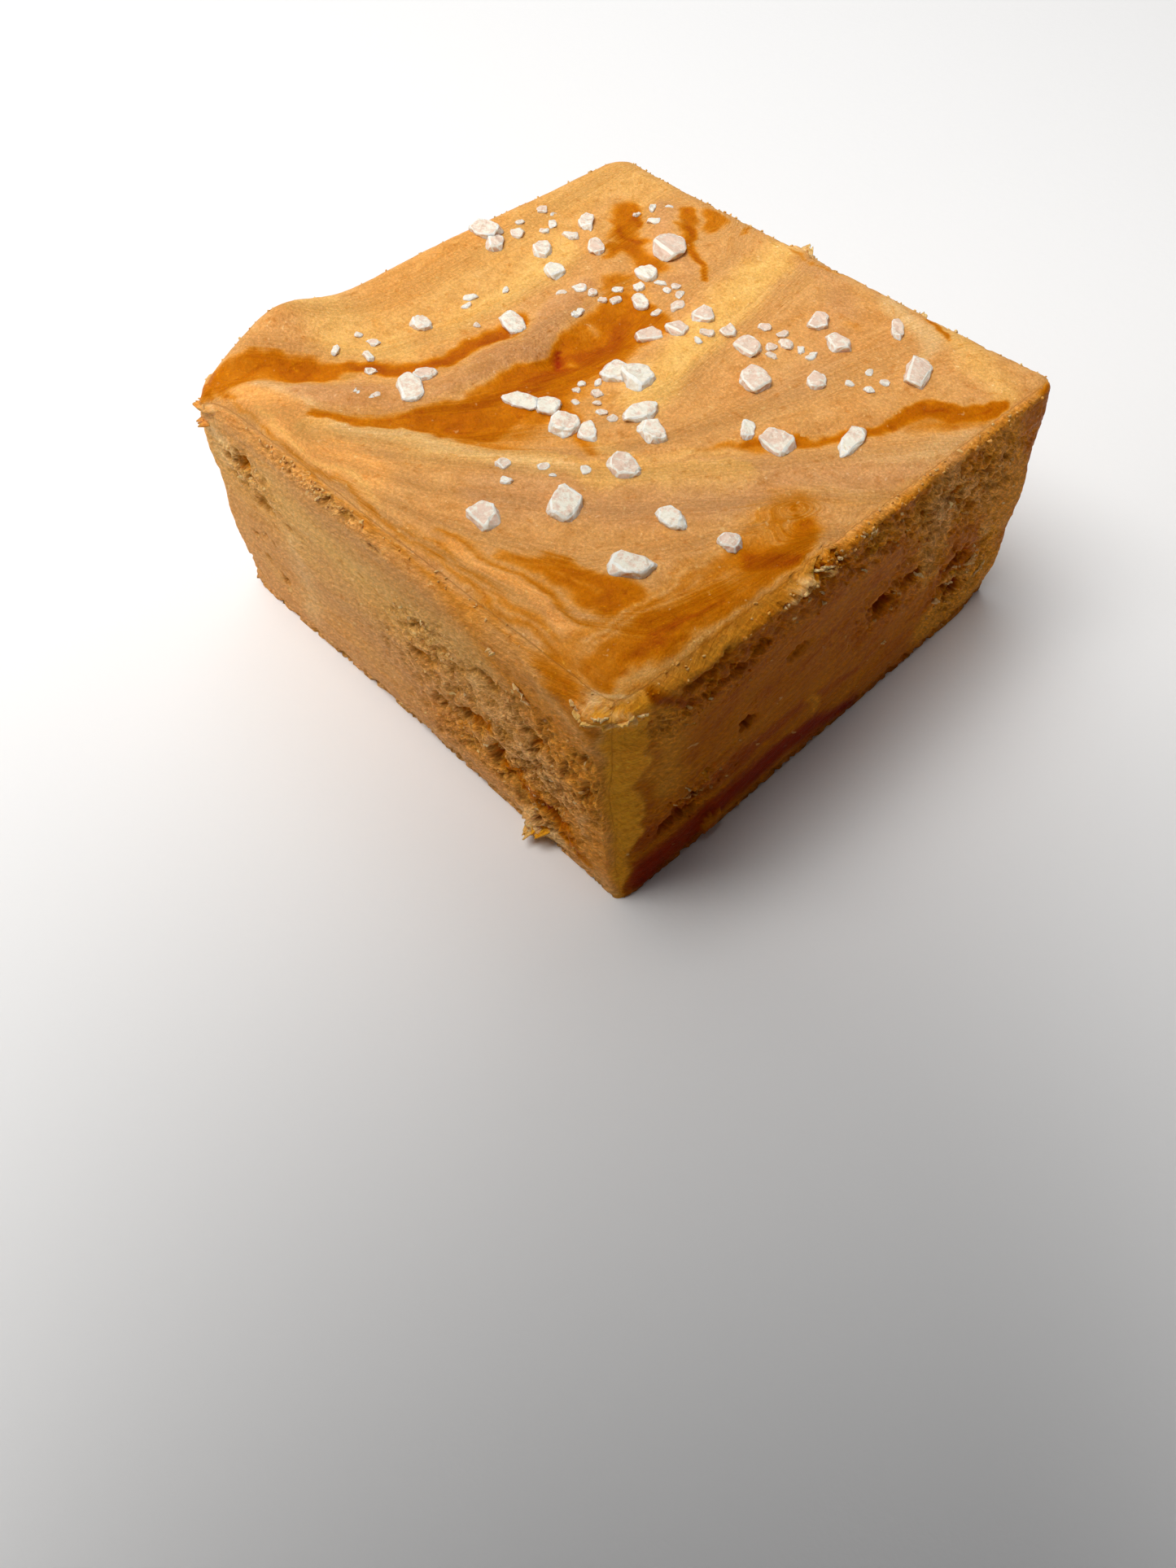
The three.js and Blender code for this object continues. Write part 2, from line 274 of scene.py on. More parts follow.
@dataclass(frozen=True)
class Skin:
    """What one spot of the fudge's skin is like.

    Attributes:
        tint: The colour of its pale part, linear.
        caramel: How thick the caramel lies over it.
        streak: Where it lies across and along the fold, for the fine streaks.
        crumb: How torn and crumbly it is, from 0 to 1.
        tear: Where it lies across and along the way it was torn, for the ragged grain.
    """

    tint: Rgb
    caramel: float
    streak: Rgb
    crumb: float
    tear: Rgb


def tinted(tint: Rgb, tone: Tone, share: float) -> Rgb:
    """Returns a colour with a share of a tone mixed in."""
    return tuple(blend(old, new, share) for old, new in zip(tint, tone.value))


def paint(tint: Rgb, caramel: float, bands: Iterable[Band], u: float, v: float) -> tuple[Rgb, float]:
    """Lays bands one over the other at a place.

    Args:
        tint: The colour below them all.
        caramel: How thick the caramel lies below them all.
        bands: The bands, the lowest first.
        u: Place along the face.
        v: Place across the face.

    Returns:
        The pale colour that shows, and how thick the caramel lies over it.
    """
    for band in bands:
        share = band.share(u, v)
        if share <= 0.0:
            continue
        if isinstance(band.tone, Caramel):
            caramel = max(caramel, share * band.tone.value)
        else:
            tint = tinted(tint, band.tone, share)
            caramel *= 1.0 - share
    return tint, caramel


SWELLS = (
    Hill(-21.8, -12, 4.6, 3.4, 1.6),
    Hill(-20.5, 0, 14, 3.5, 0.5, 90),
    Hill(-21, -21.5, 3.6, 3.2, -1.9, 45),
    Hill(-15.6, -14.4, 4.2, 1.2, -0.55, 42),
    Hill(-12.5, -16.2, 5.5, 1.6, 0.3, 20),
    Hill(-4.2, 2.2, 6, 2.5, -0.6, 90),
    Hill(-4.7, -1.3, 1.1, 0.9, -0.45),
    Hill(-7.4, -4, 7, 1.2, 0.35, 95),
    Hill(-3.2, -10.4, 7, 1.6, -0.35, 35),
    Hill(-11, 12.6, 3.4, 1.8, -0.3, -30),
    Hill(-9.6, 15, 2.2, 1.1, 0.3, -35),
    Hill(0.4, 6.5, 9.5, 1.9, 0.3, 110),
    Hill(14, 7, 9, 0.9, -0.2, 58),
    Hill(16.6, -8, 6.5, 1.7, -0.3, 90),
    Hill(9, -15.2, 6, 1.2, -0.2, 8),
)

BANDS = (
    Band(Tone.CREAM, ((-17, 19), (-16, 6), (-15, -8)), 4, (4, 3.5), 0.85),
    Band(Tone.ORANGE, ((-19.5, 6), (-18.5, -1), (-17.5, -5)), (2.2, 1.6), 2.5, 0.6),
    Band(Tone.TAN, ((-15.5, 15), (-14, 11), (-13.4, 7)), (0.8, 0.6), 1.6, 0.6),
    Band(Tone.YELLOW, ((-14, 8), (-12.2, 3), (-12, -4)), (1.2, 1), 1.6, 0.75),
    Band(Tone.YELLOW, ((-20, -10), (-15, -9.5), (-12.5, -8)), (1.6, 1), 2, 0.5),
    # A painted highlight: pale sheen along the front left of the top.
    Band(Tone.PAINTED_SHEEN, ((-18, -18), (-12, -17.6), (-4, -17.4)), (0.9, 1.6), 1.4, 0.7),
    Band(Tone.PALE, ((-16.6, -16.4), (-12.5, -15.6), (-9.5, -16.4)), (0.5, 0.4), (1, 0.9), 0.4),
    Band(Caramel.THIN, ((-17.5, -6.3), (-14.6, -7.4), (-12.6, -8.2)), (0.4, 0.3), 1.6, 0.6),
    Band(Caramel.GLAZE, ((-17.2, 14.2), (-16.2, 12.6)), (0.2, 0.1), 0.8, 0.9),
    Band(Caramel.GLAZE, ((-13.6, 7.4), (-13, 6.2)), (0.3, 0.2), 0.9),
    Band(Caramel.GLAZE, ((-13.5, 4.2), (-13.2, 3.2)), 0.2, 0.9, 0.9),
    Band(Tone.YELLOW, ((-2.4, 19.6), (-1.4, 14.5), (0, 9), (1.4, 4), (2.4, -0.6)), (1.4, 1.5), (1.3, 2.4)),
    Band(Caramel.AMBER, ((-8.7, 18.8), (-8.3, 17.4)), (1.3, 1), 1.3, 0.95),
    Band(Caramel.AMBER, ((-6.3, 20), (-5.6, 18)), (0.25, 0.15), 0.6),
    Band(Caramel.AMBER, ((-10.8, 17.6), (-9.6, 16), (-7.8, 15.2), (-6.2, 14), (-4.6, 12.9)), (0.7, 0.35),
         (1.1, 1)),
    Band(Caramel.DEEP, ((-9.4, 16), (-8, 15.4), (-6.6, 14.4), (-5, 13.1), (-3.6, 12.5)), (0.4, 0.3), 0.8),
    Band(Caramel.AMBER, ((-14.2, 15.2), (-13, 13.6), (-11.2, 12.3), (-9.6, 11.6), (-7.8, 10.8)), (0.9, 1.1),
         (1.2, 1.5)),
    Band(Caramel.AMBER, ((-10.9, 11.2), (-10.4, 9.4)), (0.6, 0.3), 1),
    Band(Caramel.DEEP, ((-14.1, 15.3), (-13, 14.5), (-12.1, 14.3)), 0.4, 1),
    Band(Caramel.DEEP, ((-12.9, 13.2), (-11.6, 12.4), (-10.4, 12.9)), 0.5, 1.1),
    Band(Tone.MAUVE, ((-12.6, 17.2), (-10.9, 15.6), (-9.8, 14.2)), (0.7, 0.6), 0.9, 0.8, 0.1),
    Band(Tone.MAUVE, ((-6.8, 13), (-5.4, 11.8), (-5, 10.4), (-6.4, 9.2)), 0.8, 1.2, 0.6),
    Band(Tone.MAUVE, ((0.4, 19), (3.2, 18.2), (5.2, 16.8)), (1, 1.4), 1.6, 0.55),
    Band(Caramel.THIN, ((-1.8, 19.8), (0.2, 19.4), (2.8, 19.8)), (0.3, 0.25), 0.9),
    Band(Tone.MAUVE, ((4.5, 17), (6.5, 14), (8.4, 10), (7.5, 6)), (0.7, 1.4), 2.4, 0.45),
    Band(Caramel.GLAZE, ((4, 13.8), (4, 12.8)), 0.3, 1),
    Band(Caramel.GLAZE, ((6, 15.9), (6.9, 15.2)), 0.3, 1.2),
    Band(Tone.YELLOW, ((12.4, 19.4), (15.4, 18.2), (18.8, 16.2)), (1.5, 1), 1.6, 0.65),
    Band(Tone.PALE, ((6.8, 20), (9.4, 18.8), (12, 16.9), (12.6, 14.4)), (1, 0.3), (1.2, 1), 0.55),
    Band(Caramel.AMBER, ((10.4, 20), (11.2, 19), (12.1, 18.3)), (0.4, 0.3), 0.7),
    Band(Tone.MAUVE, ((18.6, 6), (14, 0), (10, -5.4), (3, -12)), (1.8, 2.6), (1.8, 3), 0.8),
    Band(Tone.PALE, ((19.6, 12), (18, 8), (15.6, 5.6)), (0.8, 0.2), 1.6, 0.35),
    Band(Tone.CREAM, ((20, 6), (17.4, 2), (15.2, 0.4)), (0.6, 0.4), 1.2, 0.45),
    Band(Caramel.THIN, ((18.8, 13.8), (17.4, 11.6), (16.4, 9.6)), (1, 0.5), (1.8, 1.4), 0.9),
    Band(Caramel.AMBER, ((18.9, 15), (17.6, 13.6), (16.2, 12.2), (15.7, 10.6), (14.8, 8.8), (13.6, 6.8),
                         (12.9, 5), (12.1, 3.8)), (1.1, 0.25), (1, 0.8)),
    Band(Caramel.DEEP, ((18.3, 14.3), (17.3, 13.2)), (0.4, 0.3), 1),
    Band(Caramel.DEEP, ((16.4, 12.5), (15.9, 11.4)), (0.4, 0.3), 0.9),
    Band(Caramel.AMBER, ((12.3, 4), (11.2, 2), (10, 0.9)), 0.4, 0.8),
    Band(Caramel.AMBER, ((10.9, 1.3), (9.2, 0.3), (8.6, -1), (7.7, -2.4)), (0.6, 0.25), 0.9, 0.65),
    Band(Tone.YELLOW, ((3.6, -5.4), (6.4, -4.6), (8.6, -1.8), (10.4, 0.2)), (0.5, 0.2), 1.2, 0.6),
    Band(Caramel.THIN, ((-6.8, 8.2), (-4.6, 5), (-3.2, 0.6), (-2.6, -5), (-2.2, -9)), (1.9, 3.4),
         (3.4, 1.8)),
    Band(Caramel.THIN, ((0.6, -1.6), (0.8, -5), (0.6, -8.4)), (0.8, 0.9), 2.6, 0.75),
    Band(Caramel.AMBER, ((-5.9, 6.3), (-3.4, 5.8)), (1.5, 1.8), 1.4),
    Band(Caramel.AMBER, ((-4.3, 5), (-3.8, 2), (-3.6, -1), (-3.4, -4.4), (-3.4, -8.4)), (2.8, 2.3),
         (2, 1.1)),
    Band(Caramel.AMBER, ((-2.6, -4.4), (0.8, -5.2), (4.4, -5.8)), (1.5, 0.4), (1.8, 1.4), 0.9),
    Band(Caramel.AMBER, ((-3.2, -8.4), (-5.8, -11.8), (-8.2, -14), (-11.2, -16.2)), (2, 0.4), (0.7, 1.1)),
    Band(Caramel.DEEP, ((-4.6, 6.6), (-4.2, 4.4), (-3.2, 2.6), (-3.8, -1)), (0.9, 1.5), (2, 1.8)),
    Band(Caramel.DEEP, ((-3.8, -1), (-3.4, -4.6), (-4.8, -9), (-8.2, -13.4)), (1.4, 0.5), (1.9, 1.6), 0.94),
    Band(Caramel.RED, ((-4.9, 6.5), (-3.9, 7.6)), 0.3, 1.2, 0.8),
    Band(Caramel.RED, ((-4.4, 3.2), (-1.9, 2.7)), 0.35, 1.9, 0.85),
    Band(Caramel.RED, ((-5.2, -0.9), (-4.1, -1.4)), (0.5, 0.35), 0.8, 1, -0.1),
    Band(Tone.TAN, ((-3.8, -0.5), (-3.4, -0.3)), 0.3, 0.6, 0.5),
    Band(Tone.MAUVE, ((-6, 2.7), (-5.2, 2.5)), 0.25, 0.7, 0.45),
    Band(Caramel.AMBER, ((-19.6, -20), (-18.5, -17), (-16.7, -14.8), (-14.7, -13), (-13, -11.7)), (1.2, 1),
         1, 1, -0.06),
    Band(Caramel.RED, ((-18.4, -17.3), (-17.2, -15.1), (-15.8, -13.8)), (0.3, 0.2), 1.4, 0.85, -0.06),
    Band(Caramel.DEEP, ((-12.9, -11.6), (-10.9, -9.7), (-9.4, -6.6), (-9.2, -3.5), (-9.3, -0.6)), (0.6, 1),
         (1.5, 0.6), 0.9),
    Band(Caramel.AMBER, ((-20.6, -18.4), (-18.6, -19.2), (-16.4, -18.9)), (0.5, 0.2), 1.4),
    Band(Tone.MAUVE, ((-13.4, -15.3), (-11.4, -13.5), (-9.2, -11.5), (-7.4, -8.5), (-6.9, -5), (-6.9, -2),
                      (-7.4, 1), (-8.8, 3.6), (-9.3, 5.4)), 0.9, 0.8, 0.95, 0.12),
    Band(Tone.BROWN, ((-13, -12.4), (-12.4, -12.2)), 0.4, 0.7, 0.75),
    Band(Tone.BROWN, ((-9.6, -12.2), (-7.6, -9), (-7.1, -5)), (0.5, 0.3), 1, 0.28),
    Band(Tone.CREAM, ((-10.4, -17.2), (-7.6, -14.8), (-4, -12.9), (0.6, -10.2), (5, -7.4), (8.4, -4.6),
                      (11.4, -1)), (0.7, 0.9), (0.45, 2.6), 0.96, 0.08),
    Band(Tone.YELLOW, ((-6, -14), (0, -10.8), (5, -8), (9, -4.6)), (0.2, 0.3), (0.8, 1.2), 0.5),
    Band(Tone.PALE, ((-9, -15.3), (-3, -12.2), (1.4, -10), (4.4, -8)), (0.4, 0.3), (0.8, 1.4), 0.5),
    Band(Caramel.AMBER, ((6.4, -15.4), (9.6, -14.4), (13.4, -13.6)), (0.3, 1.7), (1.4, 1.6)),
    Band(Caramel.AMBER, ((2, -17), (6, -16.5), (10, -16.1), (14.4, -16.2)), (0.25, 0.4), (1.4, 0.9), 0.85),
    Band(Tone.MAUVE, ((5.4, -15.6), (9.6, -14.6), (12.6, -13.9)), (0.08, 0.12), 0.4, 0.35),
    # A painted highlight: the sheen along the ridge near the front edge.
    Band(Tone.PAINTED_SHEEN, ((3.5, -17.5), (8, -17.1), (14.4, -16.9)), (0.35, 0.45), (0.8, 0.9), 0.9, 0.1),
    Band(Caramel.THIN, ((1, -18.2), (6, -18.1), (10, -18.1), (17, -18.2)), (0.3, 0.5), 1.2),
    Band(Caramel.THIN, ((15.6, -1), (17, -5), (16.8, -12), (16.5, -18.8)), (1.6, 3.2), 2.6),
    Band(Caramel.AMBER, ((20.2, -3), (20.4, -9), (19.8, -18.4)), (0.6, 1.4), 2, 0.9),
    Band(Caramel.AMBER, ((17.6, -2.6), (17.8, -8), (17.2, -13), (17, -18.4)), (1.5, 2), (2.4, 2.2)),
    Band(Caramel.DEEP, ((18.6, -4.6), (16.9, -5.6)), 1.1, 1.8),
    Band(Caramel.DEEP, ((17.4, -8.4), (17.5, -11), (17.2, -16.8)), (0.5, 0.9), 1.8),
    Band(Caramel.RED, ((17.2, -13.2), (17, -15)), 0.3, 1.8, 0.85),
    Band(Caramel.DEEP, ((15.5, -1.2), (17.2, -2.2)), 0.2, 0.7, 1, -0.05),
    Band(Caramel.GLAZE, ((16, -0.6), (18.2, 1.6), (19.6, 3.6)), (0.3, 0.2), 1.1, 0.9),
    Band(Tone.CREAM, ((14.9, -5), (14.9, -11), (14.7, -17.4)), (0.06, 0.08), 0.45, 0.75, 0.04),
    Band(Tone.ORANGE, ((15.6, -9), (15.5, -13), (15.2, -17.4)), (0.04, 0.05), 0.4, 0.55),
    Band(Tone.YELLOW, ((19.3, -9.8), (19.2, -13), (19, -18)), (0.4, 0.8), (1.4, 1.2), 0.45),
    Band(Tone.YELLOW, ((-14, -18.4), (-8, -18.4), (-2, -18.2)), 0.12, 0.6, 0.7),
    Band(Caramel.THIN, ((-16, -19.3), (-6, -19.1), (2, -19), (17, -19)), (0.3, 0.45), 1, 0.95),
    Band(Tone.MAUVE, ((-14, -20.3), (-4, -20.3), (6, -20.2)), (0.4, 0.3), 0.8, 0.6),
    Band(Tone.PALE, ((17.4, -20.2), (19, -19), (20.2, -18.2)), 0.3, 0.5, 0.9),
)

FLOW = (
    FlowLine(0, ((-21, 18), (-20.5, 0), (-20.5, -10))),
    FlowLine(6, ((-16, 20), (-14, 6), (-13.5, -3), (-15, -9), (-20, -13))),
    FlowLine(11, ((-9.5, 17), (-8.6, 10), (-9, 4), (-9.3, -3), (-11, -10), (-18, -17))),
    FlowLine(14, ((-6, 15), (-6.2, 7), (-5.9, 0), (-6.3, -7), (-10, -13.6), (-16, -18))),
    FlowLine(19, ((-3.6, 20), (-1, 9), (1.2, 3), (0.6, -4), (-4, -10.6), (-10, -16.6))),
    FlowLine(23, ((4, 20), (5, 10), (5.4, 2), (4, -5), (-2, -11.4), (-8, -15.6))),
    FlowLine(31, ((19.5, 15.4), (14.6, 8.5), (10, 1.4), (5.4, -5.4), (-2, -12), (-8, -16.6))),
    FlowLine(36, ((20, 8), (14, 0), (8, -7), (0, -13), (-8, -18))),
    FlowLine(41, ((20, 2), (13.5, -5), (9, -11), (0, -16.6), (-6, -18.6))),
    FlowLine(45, ((16, -1), (15, -8), (12, -15), (2, -18), (-12, -19))),
    FlowLine(50, ((19.5, -2), (19, -16), (10, -19), (-10, -20))),
)


@dataclass
class Top:
    """The folded top: its swells, its bands of caramel and cream, and the way they run.

    Attributes:
        thickness: How thick the square is without its swells.
        swells: What rises and sinks in it.
        verge: Where it bends down to the +X side. It is read after the edge is rounded, so that both bends
            run into one another.
        bands: Its bands, the lowest first.
        flow: The lines that its fine streaks follow.
        wander_x: How the edges of its bands wander along X.
        wander_y: How they wander along Y.
        uneven: Its soft unevenness.
        streak_drift: How much the fine streaks change in 1 mm along the fold.
    """

    thickness: float = 18.5
    swells: tuple[Hill, ...] = SWELLS
    verge: Hill = Hill(20.2, -11.0, 6.5, 1.5, -0.95, 90)
    bands: tuple[Band, ...] = BANDS
    flow: tuple[FlowLine, ...] = FLOW
    wander_x: tuple[Wobble, ...] = (Wobble(0.9, 0.32, 3.1), Wobble(0.3, 1.3, 7.7))
    wander_y: tuple[Wobble, ...] = (Wobble(0.9, 0.32, 11.3), Wobble(0.3, 1.3, 17.9))
    uneven: tuple[Wobble, ...] = (Wobble(0.07, 0.35), Wobble(0.035, 1.1, 5.0))
    streak_drift: float = 0.12

    def height(self, x: float, y: float) -> float:
        """Returns the broad height of the top over a place."""
        return self.thickness + self.verge.at(x, y) + sum(swell.at(x, y) for swell in self.swells)

    def warped(self, x: float, y: float) -> Place:
        """Returns the place that the bands are read at, which makes their edges wander."""
        return x + heaped(self.wander_x, x, y), y + heaped(self.wander_y, x, y)

    def relief(self, x: float, y: float) -> float:
        """Returns the fine relief: what the bands raise or sink, and soft unevenness."""
        u, v = self.warped(x, y)
        folded = sum(band.rise * band.share(u, v) for band in self.bands if band.rise)
        return folded + heaped(self.uneven, x, y)

    def skin(self, x: float, y: float) -> Skin:
        """Returns what the top is like at a place."""
        tint, caramel = paint(Tone.TAN.value, 0.0, self.bands, *self.warped(x, y))
        weights = [line.nearness(x, y) for line in self.flow]
        rank = sum(weight * line.rank for weight, line in zip(weights, self.flow)) / sum(weights)
        return Skin(tint, caramel, (rank, self.streak_drift * x, self.streak_drift * y), 0.0, (x, y, 0.0))


@dataclass(frozen=True)
class Ragged:
    """A layer of rough noise.

    Attributes:
        along: How fine it is along a side, or along the way the side was torn.
        across: How fine it is across that.
        seed: Keeps it apart from other layers.
        octaves: How ragged it is.
        fade: How fast its finer octaves fade.
        finer: How much finer each of them is.
    """

    along: float
    across: float
    seed: float
    octaves: int
    fade: float = 0.6
    finer: float = 2.2

    def at(self, u: float, v: float, seed: float) -> float:
        """Returns its value at a place, with a further seed."""
        place = Vector((u * self.along, v * self.across, seed + self.seed))
        return noise.fractal(place, self.fade, self.finer, self.octaves)


@dataclass(frozen=True)
class Chipping:
    """Small pieces that broke out of a cut side, the deeper the more crumbly it is.

    Attributes:
        shapes: The noise that shapes them.
        start: Value of the noise at which a piece has its edge.
        edge: How wide that edge is.
        least: Depth where the side isn't crumbly, in mm.
        more: Further depth where it is.
    """

    shapes: Ragged
    start: float
    edge: float
    least: float
    more: float

    def depth(self, along: float, across: float, seed: float, crumb: float) -> float:
        """Returns how much is out, in mm, at a place along and across the way the side was torn."""
        broken = self.shapes.at(along, across, seed)
        return (self.least + self.more * crumb) * step(broken, self.start, self.edge)


@dataclass(frozen=True)
class Knife:
    """What the knife does to any side.

    Attributes:
        drag_height: Height of the broad waves that it drags.
        drag_long: How long they are.
        drag_wide: How wide they are.
        drag_bend: How much they bend.
        drag_lean: How steeply they run up the side.
        scored: The fine lines that it scores.
        score_height: How high they are.
        wander_along: How the edges of tears wander along the side.
        wander_up: How they wander up it.
        tear_dip: How much of a tear's depth is a soft dip.
        tear_drop: How much of it is a drop with a sharp edge.
        tear_edge: At which share of the dip the drop begins, and how wide it is.
        chippings: What breaks out: ragged tears, then finer chips.
        lump_height: Height of the lumps in crumbly places.
        lumps: How fine those lumps are along and up the side.
        lump_seed: Keeps them apart from other noise.
        lip: How far out a lip turns pale with a painted highlight, and over how much.
        thick_lip: How far out it is too thick to look pale, and over how much.
        lip_painted_highlight: How pale it turns: a painted highlight where light would catch the lip.
        lip_highlight_clear: How much of the caramel it loses, to pale the painted highlight.
        hollow: How deep a hollow turns brown with painted shade, and over how much.
        hollow_painted_shade: How brown it turns: painted shade in the hollow.
        hole: How deep a hole shows thicker caramel, partly painted shade, and over how much.
        hole_caramel_and_shade: How much thicker the caramel looks in it, partly caramel and partly painted
            shade.
        colour_along: How the streaks of colour wander along the side.
        colour_up: How they wander up it.
        streak_up: How the fine streaks wander up it.
        streak: How fine they are across and along the drag.
        grain_long: How fine the torn grain is along its way, where it is 1 across it.
        smeared_grit: How grainy the side is where it is smeared.
    """

    drag_height: float = 0.1
    drag_long: float = 9.0
    drag_wide: float = 2.1
    drag_bend: float = 2.1
    drag_lean: float = 0.18
    scored: Ragged = Ragged(0.22, 1.5, 0.0, 3, 0.8, 2.1)
    score_height: float = 0.05
    wander_along: tuple[Wobble, ...] = (Wobble(0.7, 0.7), Wobble(0.6, 2.1, 4))
    wander_up: tuple[Wobble, ...] = (Wobble(0.4, 0.8, 8), Wobble(0.5, 2.4, 12))
    tear_dip: float = 0.35
    tear_drop: float = 0.75
    tear_edge: Place = (0.45, 0.16)
    chippings: tuple[Chipping, ...] = (
        Chipping(Ragged(0.5, 1.3, 20, 5), 0.2, 0.1, 0.02, 0.42),
        Chipping(Ragged(0.9, 2.3, 24, 3), 0.18, 0.12, 0.02, 0.24),
    )
    lump_height: float = 0.09
    lumps: Place = (2.0, 2.4)
    lump_seed: float = 30.0
    lip: Place = (0.02, 0.1)
    thick_lip: Place = (0.3, 0.2)
    lip_painted_highlight: float = 0.6
    lip_highlight_clear: float = 0.5
    hollow: Place = (0.05, 0.2)
    hollow_painted_shade: float = 0.85
    hole: Place = (0.3, 0.4)
    hole_caramel_and_shade: float = 0.7
    colour_along: Wobble = Wobble(0.9, 0.6, 40, 2.0)
    colour_up: Wobble = Wobble(0.4, 0.9, 50, 2.5)
    streak_up: Wobble = Wobble(0.5, 0.3, 60, 2.0)
    streak: Place = (1.1, 0.12)
    grain_long: float = 0.35
    smeared_grit: float = 0.1

    def drag(self, along: float, up: float) -> float:
        """Returns the broad waves that it drags along a side."""
        run = along / self.drag_long
        rows = (up - self.drag_lean * along) / self.drag_wide
        wave = math.sin(run + self.drag_bend * math.sin(rows)) + math.sin(2.0 * rows + run)
        return self.drag_height * wave / 2.0

    def lump(self, along: float, up: float, seed: float) -> float:
        """Returns the lumps of a wholly crumbly place."""
        place = Vector((along * self.lumps[0], up * self.lumps[1], seed + self.lump_seed))
        return self.lump_height * max(0.0, noise.noise(place))

    def torn(self, tear: Hill, u: float, v: float) -> float:
        """Returns how far a tear sinks, or a lip rises, at a place."""
        share = tear.share(u, v)
        return tear.height * (self.tear_dip * share + self.tear_drop * step(share, *self.tear_edge))


@dataclass
class CutFace:
    """One cut side: its drag marks, tears, crumbly places and streaks.

    Attributes:
        side: Which side it is.
        seed: Keeps its unevenness apart from the other sides'.
        base: The colour that most of it has.
        steeped: How thick the caramel lies in most of it.
        tears: Holes, negative, and lips, positive, at places along and up the side.
        rough: Places that crumbled as the knife went by.
        bands: Its streaks of colour.
        bulges: Broad hollows, negative, and swellings, which aren't torn.
        grit: How grainy it is between the crumbly places, from 0 to 1.
        tear_turn: Which way the knife tore it, in degrees up from the side's length.
        grain_seed: The same on the sides that its grain and streaks run on over.
        run_from: Place of its middle in the run of the grain round the corners.
        run_way: Which way that run goes along it, 1 or -1.
        knife: What the knife does to any side.
    """

    side: CutSide
    seed: float
    base: Tone
    steeped: float
    tears: tuple[Hill, ...]
    rough: tuple[Hill, ...]
    bands: tuple[Band, ...]
    bulges: tuple[Hill, ...] = ()
    grit: float = 0.3
    tear_turn: float = 38.0
    grain_seed: float = 200.0
    run_from: float = 0.0
    run_way: float = 1.0
    knife: Knife = Knife()

    def broad(self, along: float, up: float) -> float:
        """Returns how far the side stands out before it is torn."""
        return self.knife.drag(along, up) + sum(bulge.at(along, up) for bulge in self.bulges)

    def crumb(self, along: float, up: float) -> float:
        """Returns how crumbly the side is at a place, from 0 to 1."""
        return min(1.0, sum(zone.at(along, up) for zone in self.rough))

    @staticmethod
    def torn_way(along: float, up: float, tear_turn: float) -> Place:
        """Returns a place as its lengths along and across the way the knife tore, given in degrees."""
        turn = math.radians(tear_turn)
        return along * math.cos(turn) + up * math.sin(turn), up * math.cos(turn) - along * math.sin(turn)

    def relief(self, along: float, up: float) -> float:
        """Returns how far the side stands out at a place along and up it."""
        p, q = self.torn_way(along, up, self.tear_turn)
        u = along + heaped(self.knife.wander_along, along, up, self.seed)
        v = up + heaped(self.knife.wander_up, p, q, self.seed)
        out = self.broad(along, up) + sum(self.knife.torn(tear, u, v) for tear in self.tears)
        out += self.knife.score_height * self.knife.scored.at(along, up, self.seed)
        crumb = self.crumb(along, up)
        out -= sum(chipping.depth(p, q, self.seed, crumb) for chipping in self.knife.chippings)
        return out + crumb * self.knife.lump(along, up, self.seed)

    def skin(self, along: float, up: float, rise: float) -> Skin:
        """Returns what the side is like at a place along and up it.

        Args:
            along: Place along the side.
            up: Place up the side.
            rise: How far the side stands out there, which darkens its holes, partly with painted shade, and
                pales its lips with a painted highlight.

        Returns:
            The skin.
        """
        knife = self.knife
        u = along + knife.colour_along.at(along, up, self.seed)
        v = up + knife.colour_up.at(along, up, self.seed)
        tint, caramel = paint(self.base.value, self.steeped, self.bands, u, v)
        depth = self.broad(along, up) - rise
        # Lips that stand out a little turn pale and lose caramel: a painted highlight where light would
        # catch them.
        pale = step(-depth, *knife.lip) - step(-depth, *knife.thick_lip)
        tint = tinted(tint, Tone.PALE, knife.lip_painted_highlight * pale)
        # Hollows turn brown: painted shade.
        tint = tinted(tint, Tone.BROWN, knife.hollow_painted_shade * step(depth, *knife.hollow))
        # Deeper holes show thicker caramel: partly caramel, partly painted shade.
        caramel = max(caramel, (self.steeped + knife.hole_caramel_and_shade) * step(depth, *knife.hole))
        caramel *= 1.0 - knife.lip_highlight_clear * pale
        run = self.run_from + self.run_way * along
        lean = up - knife.drag_lean * run + knife.streak_up.at(run, up, self.grain_seed)
        streak = (self.grain_seed + knife.streak[0] * lean, knife.streak[1] * run, 0.0)
        smear = max((band.share(u, v) for band in self.bands if band.smeared), default=0.0)
        grit = blend(min(1.0, self.grit + self.crumb(along, up)), knife.smeared_grit, smear)
        p, q = self.torn_way(run, up, self.run_way * self.tear_turn)
        return Skin(tint, caramel, streak, grit, (q, knife.grain_long * p, self.grain_seed))


